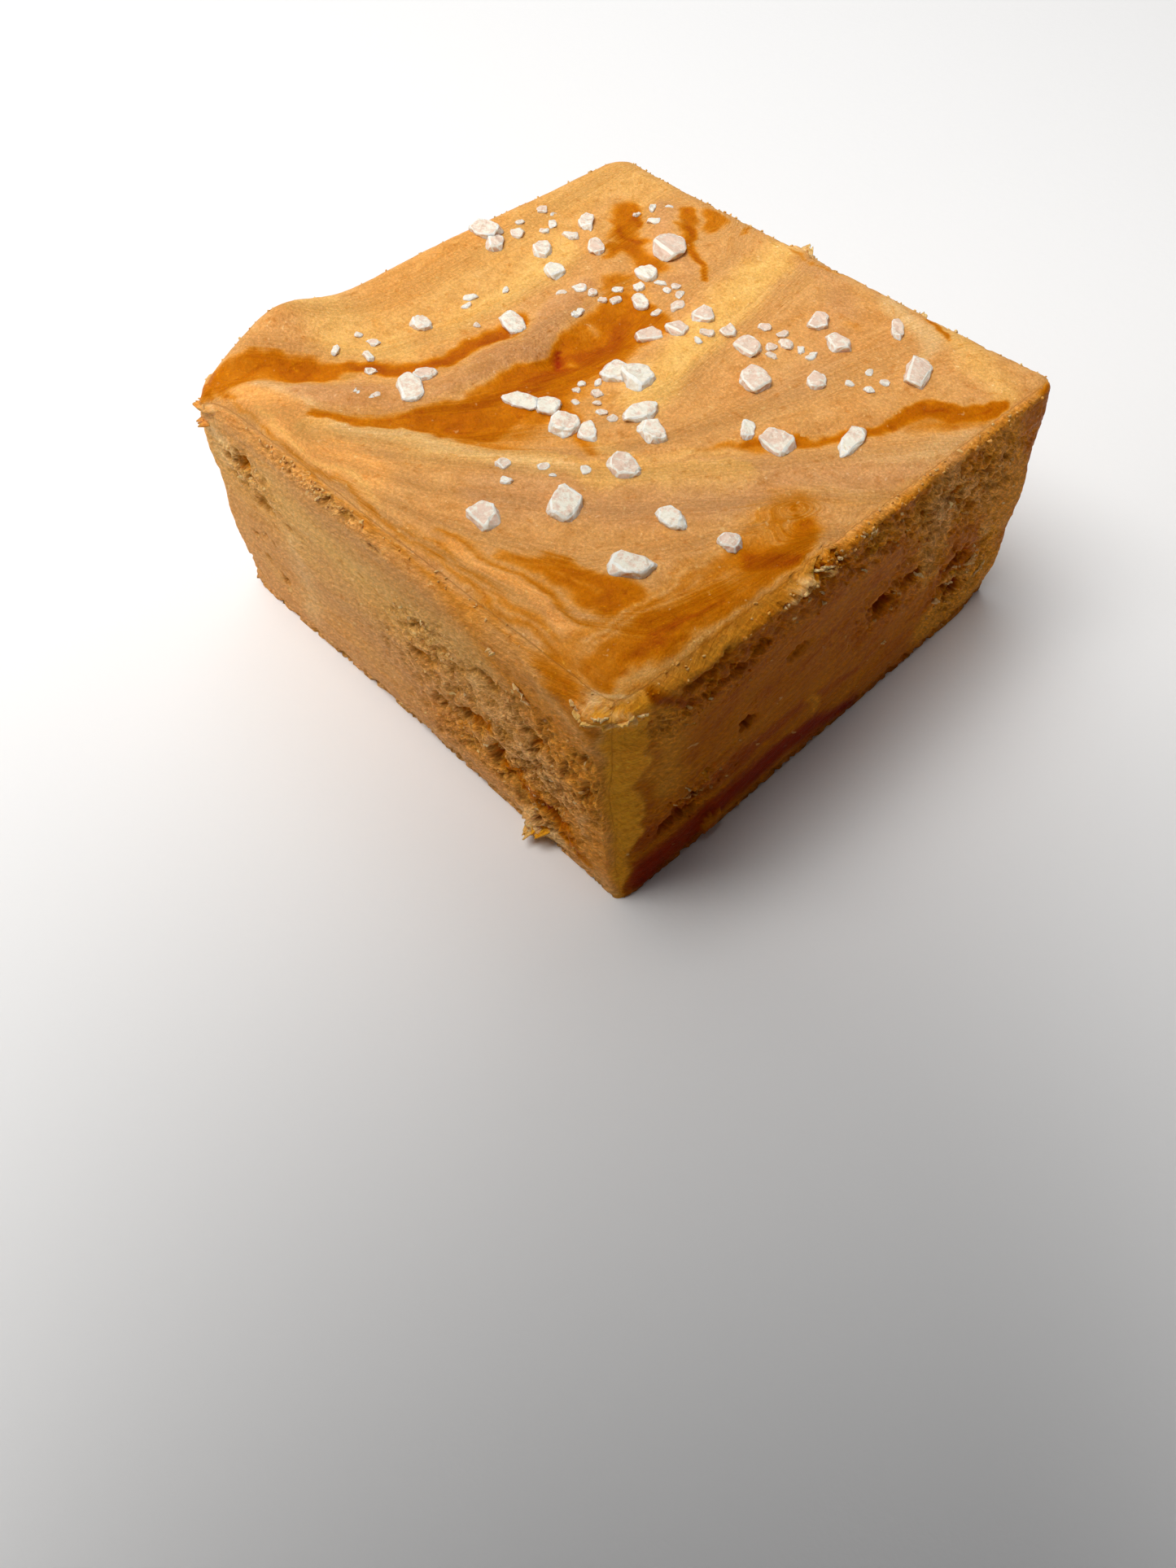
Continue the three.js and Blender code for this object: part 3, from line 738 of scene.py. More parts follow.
LIT_SIDE = CutFace(
    CutSide.MINUS_Y, 100.0, Tone.TAN, 0.12, grit=0.2, grain_seed=100.0,
    bulges=(Hill(-3.0, 0.4, 7.0, 0.9, -0.2),),
    tears=(
        Hill(-15.2, 14.2, 1.6, 0.9, -0.45, 25),
        Hill(-14.2, 11.4, 1.2, 0.7, -0.35, 20),
        Hill(-20.2, 1.4, 1.4, 1.8, -0.6),
        Hill(2.6, 9.3, 1.8, 0.6, -0.4, 20),
        Hill(7, 7.2, 2.2, 0.7, -0.7, 28),
        Hill(9.4, 12.7, 1.4, 0.6, -0.5, 5),
        Hill(9.2, 4.4, 0.9, 1.1, -0.9, 30),
        Hill(14.3, 3.4, 1.3, 1, -1, 20),
        Hill(13.2, 10.6, 1.8, 0.7, -0.45, -10),
        Hill(17.8, 9.8, 1.1, 0.9, -0.45, 30),
        Hill(12.9, 1.2, 1.3, 1, 0.7, 20),
        Hill(18.6, 17.4, 1.6, 0.8, 0.6),
        Hill(-19, 17, 1.3, 0.8, 0.5),
        Hill(-13.8, 12, 0.35, 0.3, -0.4),
        Hill(-11.5, 11, 0.3, 0.3, -0.35),
        Hill(-15, 8, 0.35, 0.3, -0.4),
        Hill(-16.2, 7, 0.3, 0.3, -0.35),
        Hill(-15.5, 5, 0.35, 0.3, -0.4),
        Hill(-14.7, 3.7, 0.3, 0.3, -0.35),
        Hill(-0.5, 16.7, 0.5, 0.25, -0.35),
        Hill(-2.6, 12.7, 0.3, 0.25, -0.35),
        Hill(-2, 7.8, 0.3, 0.25, -0.35),
        Hill(3.5, 5.8, 0.8, 0.5, -0.5, 20),
        Hill(2.8, 2.3, 0.6, 0.6, -0.6),
        Hill(17.5, 12.8, 0.6, 0.4, -0.45),
    ),
    rough=(
        Hill(-15.2, 13.5, 2.4, 1.8, 0.7, 20),
        Hill(4, 9.5, 6.5, 2.2, 0.55, 20),
        Hill(8.5, 5.2, 6, 2.4, 0.9, 15),
        Hill(14.5, 9.5, 4.5, 4, 0.85),
        Hill(3, 12.5, 3, 1.4, 0.5, 20),
        Hill(14, 3, 3.5, 2.2, 0.7),
        Hill(-6.5, 17.4, 5, 0.5, 0.8),
        Hill(0, 0.2, 20, 0.6, 0.6),
    ),
    bands=(
        Band(Tone.CREAM, ((-18, 12), (-5, 11), (8, 14)), (4, 2.4), 3, 0.85),
        Band(Tone.YELLOW, ((-11, 13.5), (-4, 12.5), (4, 12)), (2, 1), 3, 0.5),
        Band(Tone.CREAM, ((-16, 3.6), (-12.6, 2.6), (-11.4, 3.4)), (0.7, 0.6), 2, 0.7),
        Band(Tone.MAUVE, ((-8, 10.6), (2, 6), (4, 2.4)), 1.4, 2.4, 0.35),
        Band(Tone.MAUVE, ((-19, 9), (-6, 7), (4, 4)), (1.2, 1.4), 2, 0.4),
        Band(Tone.MAUVE, ((-19, 2), (-4, 1.5), (8, 1.5)), (1.6, 1.4), 1.8, 0.5),
        Band(Tone.ORANGE, ((-18, 17.4), (-6, 17.8), (8, 17.8)), (0.5, 1), 1.4, 0.7),
        Band(Caramel.THIN, ((-18, 18.6), (-4, 18.4), (8, 17.6)), (0.3, 0.6), 1.6),
        Band(Tone.GOLD, ((7, 17), (14, 14), (19, 10)), (0.6, 3.6), 3.5, 0.8),
        Band(Tone.GOLD, ((3, 4), (10, 4), (20, 4)), (1, 2.5), 3, 0.6),
        Band(Caramel.AMBER, ((8, 18.6), (14, 18), (18, 16.5)), (0.4, 1.6), 2, 0.8),
        # Honey over the smeared near corner, brightened with painted light where the corner faces away from
        # the lamps.
        Band(Tone.HONEY_AND_PAINTED_LIGHT, ((20.2, 18), (21, 12), (21.2, 6), (20.8, 0)), (1.7, 1), 1.2, 0.95, smeared=True),
        Band(Caramel.AMBER, ((9.6, 4.6), (13, 4.2), (16.8, 2)), (0.8, 1), 1.6),
        Band(Caramel.THIN, ((5, 5), (7.4, 6.4), (9, 8)), 0.5, 1.2),
        # The two red marks below darken pits: partly caramel, partly painted shade.
        Band(Caramel.RED, ((13.8, 3.9), (14.7, 3.2)), (0.35, 0.3), 0.7),
        Band(Caramel.RED, ((9, 4.6), (9.4, 4)), (0.2, 0.15), 0.7, 0.9),
        Band(Tone.PALE, ((11.4, 1.2), (14.4, 1.4)), 0.6, 0.7, 0.6),
        Band(Tone.PALE, ((-18.6, 15.4), (-16.6, 14.2), (-14.6, 15)), (0.7, 0.4), 1.4, 0.6),
        Band(Tone.PALE, ((-18.4, 13.4), (-15.4, 12.4)), (0.4, 0.3), 1.2, 0.5),
        Band(Tone.PALE, ((-11.4, 9.4), (-11, 5), (-11.6, 2.4)), (1, 0.8), 2.6, 0.35),
        Band(Tone.BROWN, ((-12.4, 11.6), (-9.6, 11)), (0.15, 0.1), 0.8, 0.45),
        Band(Tone.BROWN, ((-16.8, 8.6), (-14.6, 9.2)), 0.2, 0.9, 0.5),
        Band(Tone.BROWN, ((-16.6, 4.6), (-14.2, 5.4)), 0.2, 0.9, 0.4),
        Band(Tone.PALE, ((3.6, 12.6), (7.4, 11.4)), (0.3, 0.4), 1.2, 0.35),
        Band(Tone.PALE, ((16.9, 4.8), (17.4, 6.6)), 0.2, 0.9, 0.4),
    ),
)
SHADED_SIDE = CutFace(
    CutSide.PLUS_X, 200.0, Tone.GOLD, 0.78, grit=0.35, tear_turn=-38.0,
    bulges=(
        Hill(-20.2, 9, 2.8, 6.5, -0.9),
        Hill(19.6, 9, 2.6, 4.5, 0.25),
        Hill(19.6, 0, 2.4, 2.6, -0.45),
    ),
    tears=(
        Hill(-14.4, 4.6, 2.2, 0.7, -0.6),
        Hill(-8.7, 8.7, 0.9, 0.7, -0.8, -20),
        Hill(-4.2, 11.8, 1.4, 0.4, -0.35),
        Hill(4.5, 9.4, 1.2, 0.8, -0.9, -15),
        Hill(8, 9.7, 0.8, 0.7, -0.6),
        Hill(13.4, 7.6, 2, 0.7, -0.8, 10),
        Hill(14.2, 4.7, 1, 0.8, -1),
        Hill(-19, 17.2, 1.4, 0.8, 0.4),
        Hill(-3.8, 17.4, 2.6, 0.6, 0.3),
        Hill(-11.7, 7.3, 0.4, 0.4, -0.4),
        Hill(-11.5, 1.5, 0.9, 0.7, 0.35),
        Hill(-12.6, 16.5, 2.6, 0.35, -0.35, 5),
        Hill(-9.5, 15, 2.4, 0.3, -0.3),
    ),
    rough=(
        Hill(14.5, 5.4, 3.5, 3, 1),
        Hill(5.5, 9.2, 4, 2, 0.8),
        Hill(-12.5, 15, 4.5, 1.3, 0.7),
        Hill(12, 13.5, 5.5, 3.4, 0.8),
        Hill(-2, 17.6, 4.5, 0.8, 1),
        Hill(3, 16, 11, 1.6, 0.7),
        Hill(-13.5, 5.4, 3.5, 1.8, 0.8),
        Hill(0, 0.3, 20, 0.7, 0.5),
    ),
    bands=(
        Band(Tone.ORANGE, ((-4, 18.8), (4, 18.6), (18, 18.6)), 0.5, 1.4, 0.85),
        Band(Caramel.THIN, ((-18, 18.4), (-11, 17.8), (-4, 18.4)), (1, 0.8), 0.9, smeared=True),
        # Honey along the top edge, brightened with painted light on this shaded side.
        Band(Tone.HONEY_AND_PAINTED_LIGHT, ((-18, 18.2), (-11, 17.8), (-4, 18.4)), (1, 0.8), 0.9, 0.6, smeared=True),
        Band(Tone.GOLD, ((-15.6, 17), (-15.4, 9)), (1.4, 1.2), (2.2, 1.2), 0.45),
        Band(Tone.MAUVE, ((9.5, 17), (9.5, 13), (9.8, 9)), (1.8, 1), 2.6, 0.6),
        Band(Tone.TAN, ((7, 15.6), (12, 14), (17, 11.6)), (1.4, 1.8), 3, 0.5),
        Band(Tone.GOLD, ((14, 18), (17.5, 11), (17.4, 5)), 1.6, 2.6, 0.6),
        Band(Tone.GOLD, ((12, 2.6), (15, 2), (19, 3)), 1.6, 2.6, 0.7),
        Band(Tone.BROWN, ((2, 17), (8, 15.4), (17, 15)), (0.6, 0.8), 2, 0.4),
        Band(Caramel.DEEP, ((-16.6, 17.6), (-14.4, 15.4), (-11.6, 14.2)), (0.5, 0.4), (1.2, 1)),
        Band(Caramel.RED, ((-15.4, 16.4), (-14, 15.6), (-12.6, 14.4)), 0.15, 1, 0.85),
        Band(Caramel.DEEP, ((-17, 5), (-10, 5), (-4, 5.6), (3, 4.4)), (1.8, 1), 2.4),
        Band(Caramel.RED, ((-17.6, 1.4), (-10, 2.2), (-4, 2.6), (3.6, 0.8)), (1.8, 1), 2.2),
        Band(Caramel.DEEP, ((4, 0.4), (12, 0.4), (18, 0.6)), (0.5, 0.3), 1.2, 0.9),
        Band(Caramel.DEEP, ((-6, 9), (2, 7.2), (10, 6)), (0.3, 0.2), 1.6, 0.9),
        # Honey over the smeared near corner, brightened with painted light.
        Band(Tone.HONEY_AND_PAINTED_LIGHT, ((-19.6, 17.5), (-19.4, 9), (-19.6, 4), (-20.8, 0)), (2.5, 0.9), 0.8, 0.97,
             smeared=True),
        # The seven small red marks below darken pits: partly caramel, partly painted shade.
        Band(Caramel.RED, ((-8.9, 9), (-8.3, 8.6)), (0.35, 0.3), 0.6),
        Band(Caramel.RED, ((-5, 12.2), (-3.2, 11.8)), 0.1, 0.6, 0.9),
        Band(Caramel.RED, ((4.1, 9.9), (4.9, 9.2)), 0.4, 0.6),
        Band(Caramel.RED, ((11.6, 7.2), (13.2, 8), (14.6, 7.8)), (0.2, 0.3), 0.6),
        Band(Caramel.RED, ((14, 5), (14.7, 4.5)), (0.4, 0.3), 0.5),
        Band(Caramel.RED, ((-16.3, 4.5), (-14.6, 4.9), (-12.6, 4.7)), 0.15, 0.6, 0.9),
        Band(Caramel.RED, ((-12.4, 6.9), (-11.4, 7.3)), (0.2, 0.15), 0.6, 0.8),
        Band(Tone.GOLD, ((-2, 5.4), (-1.2, 4)), (0.4, 0.3), 0.8, 0.6),
        Band(Tone.TAN, ((12, 5.8), (13.4, 6), (15.6, 4.9)), 0.3, 0.9, 0.7),
        Band(Tone.TAN, ((15.2, 9.4), (16.6, 8)), 0.3, 0.9, 0.7),
    ),
)
LEFT_SIDE = CutFace(
    CutSide.MINUS_X, 300.0, Tone.TAN, 0.12, run_from=81.6, run_way=-1.0,
    bulges=(Hill(-12.5, 17.2, 4.6, 2.6, 0.9),),
    tears=(
        Hill(-19, 17, 1.4, 0.8, 0.4),
        Hill(6, 11, 1.8, 0.7, -0.6, 12),
        Hill(-5, 6, 1.3, 0.9, -0.7, -15),
        Hill(12.5, 5, 2, 0.8, -0.6, 20),
        Hill(-13, 10.5, 1.1, 0.8, -0.5),
    ),
    rough=(
        Hill(6, 10.5, 5, 2.4, 0.8, 12),
        Hill(-6, 6, 5, 2.2, 0.8, -10),
        Hill(12, 5, 4, 2.4, 0.7, 15),
        Hill(0, 0.3, 20, 0.7, 0.6),
        Hill(-10, 18.4, 4, 0.8, 0.8),
    ),
    bands=(
        Band(Tone.CREAM, ((-18, 13), (0, 14), (16, 12)), (1.8, 2.2), 2.5, 0.6),
        Band(Caramel.AMBER, ((-16, 15.6), (-12, 12), (-6, 9.6)), (1, 0.2), 1.8),
        Band(Tone.MAUVE, ((-16, 4), (0, 5), (18, 3)), (1.6, 1.2), 2, 0.5),
        Band(Caramel.THIN, ((4, 4.6), (10, 6.4), (18, 6.6)), (0.3, 0.6), 1.6),
    ),
)
FAR_SIDE = CutFace(
    CutSide.PLUS_Y, 400.0, Tone.TAN, 0.12, run_from=40.8, run_way=-1.0,
    bulges=(Hill(19.6, 9.0, 2.6, 4.5, 0.2), Hill(19.6, 0.0, 2.4, 2.6, -0.55)),
    tears=(
        Hill(-1.5, 18, 1.2, 0.8, 0.4),
        Hill(-9, 8.5, 1.9, 0.7, -0.7, 18),
        Hill(3, 4.5, 1.2, 0.9, -0.7),
        Hill(11.5, 11, 1.7, 0.7, -0.5, -12),
        Hill(-15, 13, 1.1, 0.8, -0.5, 10),
    ),
    rough=(
        Hill(-9, 8.5, 5, 2.4, 0.8, 15),
        Hill(4, 5, 5, 2.2, 0.8),
        Hill(12, 10.5, 4.5, 2.4, 0.7, -10),
        Hill(0, 0.3, 20, 0.7, 0.6),
        Hill(0, 18.2, 16, 0.6, 0.5),
    ),
    bands=(
        Band(Caramel.AMBER, ((-10, 18), (-7, 13), (-8, 8)), (1.2, 0.3), 1.8),
        Band(Tone.CREAM, ((-4, 18), (-1, 12), (0, 6)), (1.6, 1.8), 2, 0.7),
        Band(Tone.MAUVE, ((-18, 4), (0, 3), (18, 4)), (1.6, 1.4), 2, 0.5),
        Band(Caramel.THIN, ((8, 6), (14, 7.4), (19, 7)), (0.4, 0.8), 1.6),
    ),
)
CUT_SIDES = {face.side: face for face in (LIT_SIDE, SHADED_SIDE, LEFT_SIDE, FAR_SIDE)}


@dataclass(frozen=True)
class CornerRound:
    """How far one upright corner is rounded back along X and along Y, at its foot and at its top."""

    foot: Place
    top: Place

    def at(self, share: float) -> Place:
        """Returns the two lengths at a share of the height."""
        return blend(self.foot[0], self.top[0], share), blend(self.foot[1], self.top[1], share)


@dataclass(frozen=True)
class Spot:
    """A spot on the skin: its place in mm, which way it looks, and the skin there."""

    place: Vector
    out: Vector
    skin: Skin


@dataclass
class FudgeForm:
    """The form of the square, which the solid has too: sides, rounded corners, top and cut sides.

    Attributes:
        side_foot: Places of the sides at the foot: -X, +X, -Y and +Y.
        side_top: Places of the sides at the top.
        corners: The upright corners: left, near, far and right.
        top_roll: How deep the roll at the top edge is: in general, and at -X, +X, -Y and +Y.
        spare_below: How much too deep the square is shaped before it is cut off flat.
        edge_crowding: How much closer the cells lie towards the edges.
        seam_power: How soon one face's skin gives way to the next round an edge.
        top: The folded top.
        faces: The cut sides.
    """

    side_foot: tuple[float, float, float, float] = (-20.2, 20.4, -19.6, 19.9)
    side_top: tuple[float, float, float, float] = (-20.6, 19.9, -20.0, 20.6)
    corners: tuple[CornerRound, ...] = (
        CornerRound((0.4, 0.4), (1.2, 2.0)),
        CornerRound((0.7, 1.1), (3.2, 3.6)),
        CornerRound((2.2, 2.2), (2.2, 2.2)),
        CornerRound((0.4, 0.4), (1.5, 1.6)),
    )
    top_roll: tuple[float, float, float, float, float] = (1.2, 1.2, 0.6, 2.0, 1.0)
    spare_below: float = 0.8
    edge_crowding: float = 0.35
    seam_power: int = 6
    top: Top = field(default_factory=Top)
    faces: dict[CutSide, CutFace] = field(default_factory=lambda: dict(CUT_SIDES))

    def crowd(self, a: float) -> float:
        """Returns a place from -1 to 1, drawn towards the nearer end."""
        return blend(a, math.sin(a * math.pi / 2.0), self.edge_crowding)

    def corner_round(self, a: float, b: float, share: float) -> Place:
        """Returns the corner lengths along X and Y at a plan place and a share of the height."""
        left, near, far, right = (corner.at(share) for corner in self.corners)
        u = (a + 1.0) / 2.0
        v = (b + 1.0) / 2.0
        rx = blend(blend(left[0], near[0], u), blend(far[0], right[0], u), v)
        ry = blend(blend(left[1], near[1], u), blend(far[1], right[1], u), v)
        return rx, ry

    def top_depth(self, a: float, b: float) -> float:
        """Returns how deep the roll at the top edge is over a plan place."""
        general, left, right, near, far = self.top_roll
        side_x = (right if a > 0 else left) - general
        side_y = (far if b > 0 else near) - general
        return general + side_x * a ** 4 + side_y * b ** 4

    def sides(self, share: float) -> tuple[float, ...]:
        """Returns the places of the sides -X, +X, -Y and +Y at a share of the height."""
        return tuple(blend(foot, top, share) for foot, top in zip(self.side_foot, self.side_top))

    @staticmethod
    def in_band(value: float, low: float, high: float, band: float) -> float:
        """Returns how far a value lies in the rounded band at either end, from -1 to 1."""
        return max(0.0, (value - high + band) / band) - max(0.0, (low + band - value) / band)

    def spot(self, a: float, b: float, c: float) -> Spot:
        """Carries a place on a plain box onto the fudge.

        Args:
            a: Place along X, from -1 to 1.
            b: Place along Y, from -1 to 1.
            c: Place up Z, from 0 to 1.

        Returns:
            The spot that the place becomes.
        """
        low_x, high_x, low_y, high_y = self.sides(c)
        x = blend(low_x, high_x, (a + 1.0) / 2.0)
        y = blend(low_y, high_y, (b + 1.0) / 2.0)
        top = self.top.height(x, y)
        z = blend(-self.spare_below, top, c)
        rx, ry = self.corner_round(a, b, c)
        rz = self.top_depth(a, b)
        band = Vector((
            self.in_band(x, low_x, high_x, rx),
            self.in_band(y, low_y, high_y, ry),
            max(0.0, (z - top + rz) / rz),
        ))
        out = band / max(1.0, band.length)
        place = Vector((
            x + (out.x - band.x) * rx,
            y + (out.y - band.y) * ry,
            z + (out.z - band.z) * rz,
        ))
        place.z += c * (self.top.verge.at(place.x, place.y) - self.top.verge.at(x, y))
        face_x = self.faces[CutSide.PLUS_X if out.x > 0 else CutSide.MINUS_X]
        face_y = self.faces[CutSide.PLUS_Y if out.y > 0 else CutSide.MINUS_Y]
        rise_x = face_x.relief(y, z) if out.x else 0.0
        rise_y = face_y.relief(x, z) if out.y else 0.0
        rise_z = self.top.relief(x, y) if out.z else 0.0
        place += Vector((out.x * rise_x, out.y * rise_y, out.z * rise_z))
        parts = (
            (out.x ** self.seam_power, lambda: face_x.skin(y, z, rise_x)),
            (out.y ** self.seam_power, lambda: face_y.skin(x, z, rise_y)),
            (out.z ** self.seam_power, lambda: self.top.skin(x, y)),
        )
        return Spot(place, out, self.mixed([(share, skin()) for share, skin in parts if share > 1e-4]))

    def on_side(self, side: CutSide, along: float, up: float) -> Spot:
        """Returns the spot at a place along and up a cut side."""
        c = (up + self.spare_below) / (self.top.thickness + self.spare_below)
        low_x, high_x, low_y, high_y = self.sides(c)
        if side in (CutSide.MINUS_X, CutSide.PLUS_X):
            b = 2.0 * (along - low_y) / (high_y - low_y) - 1.0
            return self.spot(1.0 if side is CutSide.PLUS_X else -1.0, b, c)
        a = 2.0 * (along - low_x) / (high_x - low_x) - 1.0
        return self.spot(a, 1.0 if side is CutSide.PLUS_Y else -1.0, c)

    @staticmethod
    def mixed(parts: Sequence[tuple[float, Skin]]) -> Skin:
        """Returns the mean of several skins by their shares; the streaks follow the largest."""
        total = sum(share for share, _ in parts)
        tint = tuple(sum(share * skin.tint[k] for share, skin in parts) / total for k in range(3))
        caramel = sum(share * skin.caramel for share, skin in parts) / total
        crumb = sum(share * skin.crumb for share, skin in parts) / total
        largest = max(parts, key=lambda part: part[0])[1]
        return Skin(tint, caramel, largest.streak, crumb, largest.tear)


@dataclass(frozen=True)
class Pattern:
    """A noise of a material: how fine it is, how many layers it has, and how rough they make it."""

    scale: float
    detail: float = 2.0
    roughness: float = 0.5


@dataclass(frozen=True)
class Fade:
    """A smooth step: between which two values it happens, and what it goes from and to."""

    values: Place
    shares: Place = (0.0, 1.0)


@dataclass(frozen=True)
class Wash:
    """A colour that multiplies what lies below it, and how much of it shows by a noise's value."""

    colour: Rgb
    fade: Fade


class NodeBench:
    """Short ways to lay out a material's nodes."""

    def __init__(self, name: str) -> None:
        """Starts an empty material with its output and principled shader."""
        self.material = bpy.data.materials.new(name)
        self.material.use_nodes = True
        self.tree = self.material.node_tree
        self.shader = self.tree.nodes["Principled BSDF"]

    def add(self, kind: str, **values: object) -> bpy.types.Node:
        """Adds a node of a kind, named without its ShaderNode part, sets its properties and returns it."""
        node = self.tree.nodes.new("ShaderNode" + kind)
        for name, value in values.items():
            setattr(node, name, value)
        return node

    def link(self, source: Socket, target: Socket) -> None:
        """Joins two sockets."""
        self.tree.links.new(source, target)

    def set(self, **values: float | Rgb) -> None:
        """Sets the shader's plain values, named as its sockets with _ for each space."""
        for name, value in values.items():
            self.shader.inputs[name.replace("_", " ")].default_value = value

    def noise(self, vector: Socket, pattern: Pattern) -> Socket:
        """Adds a noise texture and returns its factor."""
        node = self.add("TexNoise")
        node.inputs["Scale"].default_value = pattern.scale
        node.inputs["Detail"].default_value = pattern.detail
        node.inputs["Roughness"].default_value = pattern.roughness
        self.link(vector, node.inputs["Vector"])
        return node.outputs["Fac"]

    def fade(self, value: Socket, fade: Fade) -> Socket:
        """Adds a smooth step and returns its result."""
        node = self.add("MapRange", interpolation_type="SMOOTHSTEP")
        self.link(value, node.inputs["Value"])
        for name, number in zip(("From Min", "From Max", "To Min", "To Max"), (*fade.values, *fade.shares)):
            node.inputs[name].default_value = number
        return node.outputs["Result"]

    def math(self, operation: str, first: Socket | float, second: Socket | float) -> Socket:
        """Adds a sum on two values, each a socket or a number, and returns its result."""
        node = self.add("Math", operation=operation)
        for socket, value in zip(node.inputs, (first, second)):
            if isinstance(value, (int, float)):
                socket.default_value = value
            else:
                self.link(value, socket)
        return node.outputs["Value"]

    def ramp(self, value: Socket, stops: Sequence[tuple[float, Rgb]]) -> Socket:
        """Adds a ramp of colours over values from 0 to 1 and returns its colour."""
        node = self.add("ValToRGB")
        elements = node.color_ramp.elements
        while len(elements) < len(stops):
            elements.new(0.5)
        for element, (position, colour) in zip(elements, stops):
            element.position = position
            element.color = (*colour, 1.0)
        self.link(value, node.inputs["Fac"])
        return node.outputs["Color"]

    def mix(self, factor: Socket, first: Socket | Rgb, second: Socket | Rgb,
            blend_type: str = "MIX") -> Socket:
        """Mixes two colours by a factor and returns the result."""
        node = self.add("Mix", data_type="RGBA", blend_type=blend_type)
        self.link(factor, node.inputs["Factor"])
        for name, colour in (("A", first), ("B", second)):
            if isinstance(colour, tuple):
                node.inputs[name].default_value = (*colour, 1.0)
            else:
                self.link(colour, node.inputs[name])
        return node.outputs["Result"]

    def times(self, first: Socket, second: Socket | float) -> Socket:
        """Multiplies two values and returns the product."""
        return self.math("MULTIPLY", first, second)

    def wash(self, colour: Socket | Rgb, value: Socket, wash: Wash,
             share: Socket | None = None) -> Socket:
        """Lays a wash, or a share of it, over a colour by a noise's value, and returns the result."""
        shown = self.fade(value, wash.fade)
        if share is not None:
            shown = self.times(shown, share)
        return self.mix(shown, colour, wash.colour, "MULTIPLY")

    def total(self, *parts: tuple[Socket, float]) -> Socket:
        """Adds up values, each times its weight, and returns the sum."""
        weighed = [value if weight == 1.0 else self.times(value, weight) for value, weight in parts]
        result = weighed[0]
        for value in weighed[1:]:
            result = self.math("ADD", result, value)
        return result

    def bump(self, height: Socket, strength: float, distance: float) -> None:
        """Roughens the surface by a height, to a depth in mm."""
        node = self.add("Bump")
        node.inputs["Strength"].default_value = strength
        node.inputs["Distance"].default_value = distance * MM
        self.link(height, node.inputs["Height"])
        self.link(node.outputs["Normal"], self.shader.inputs["Normal"])


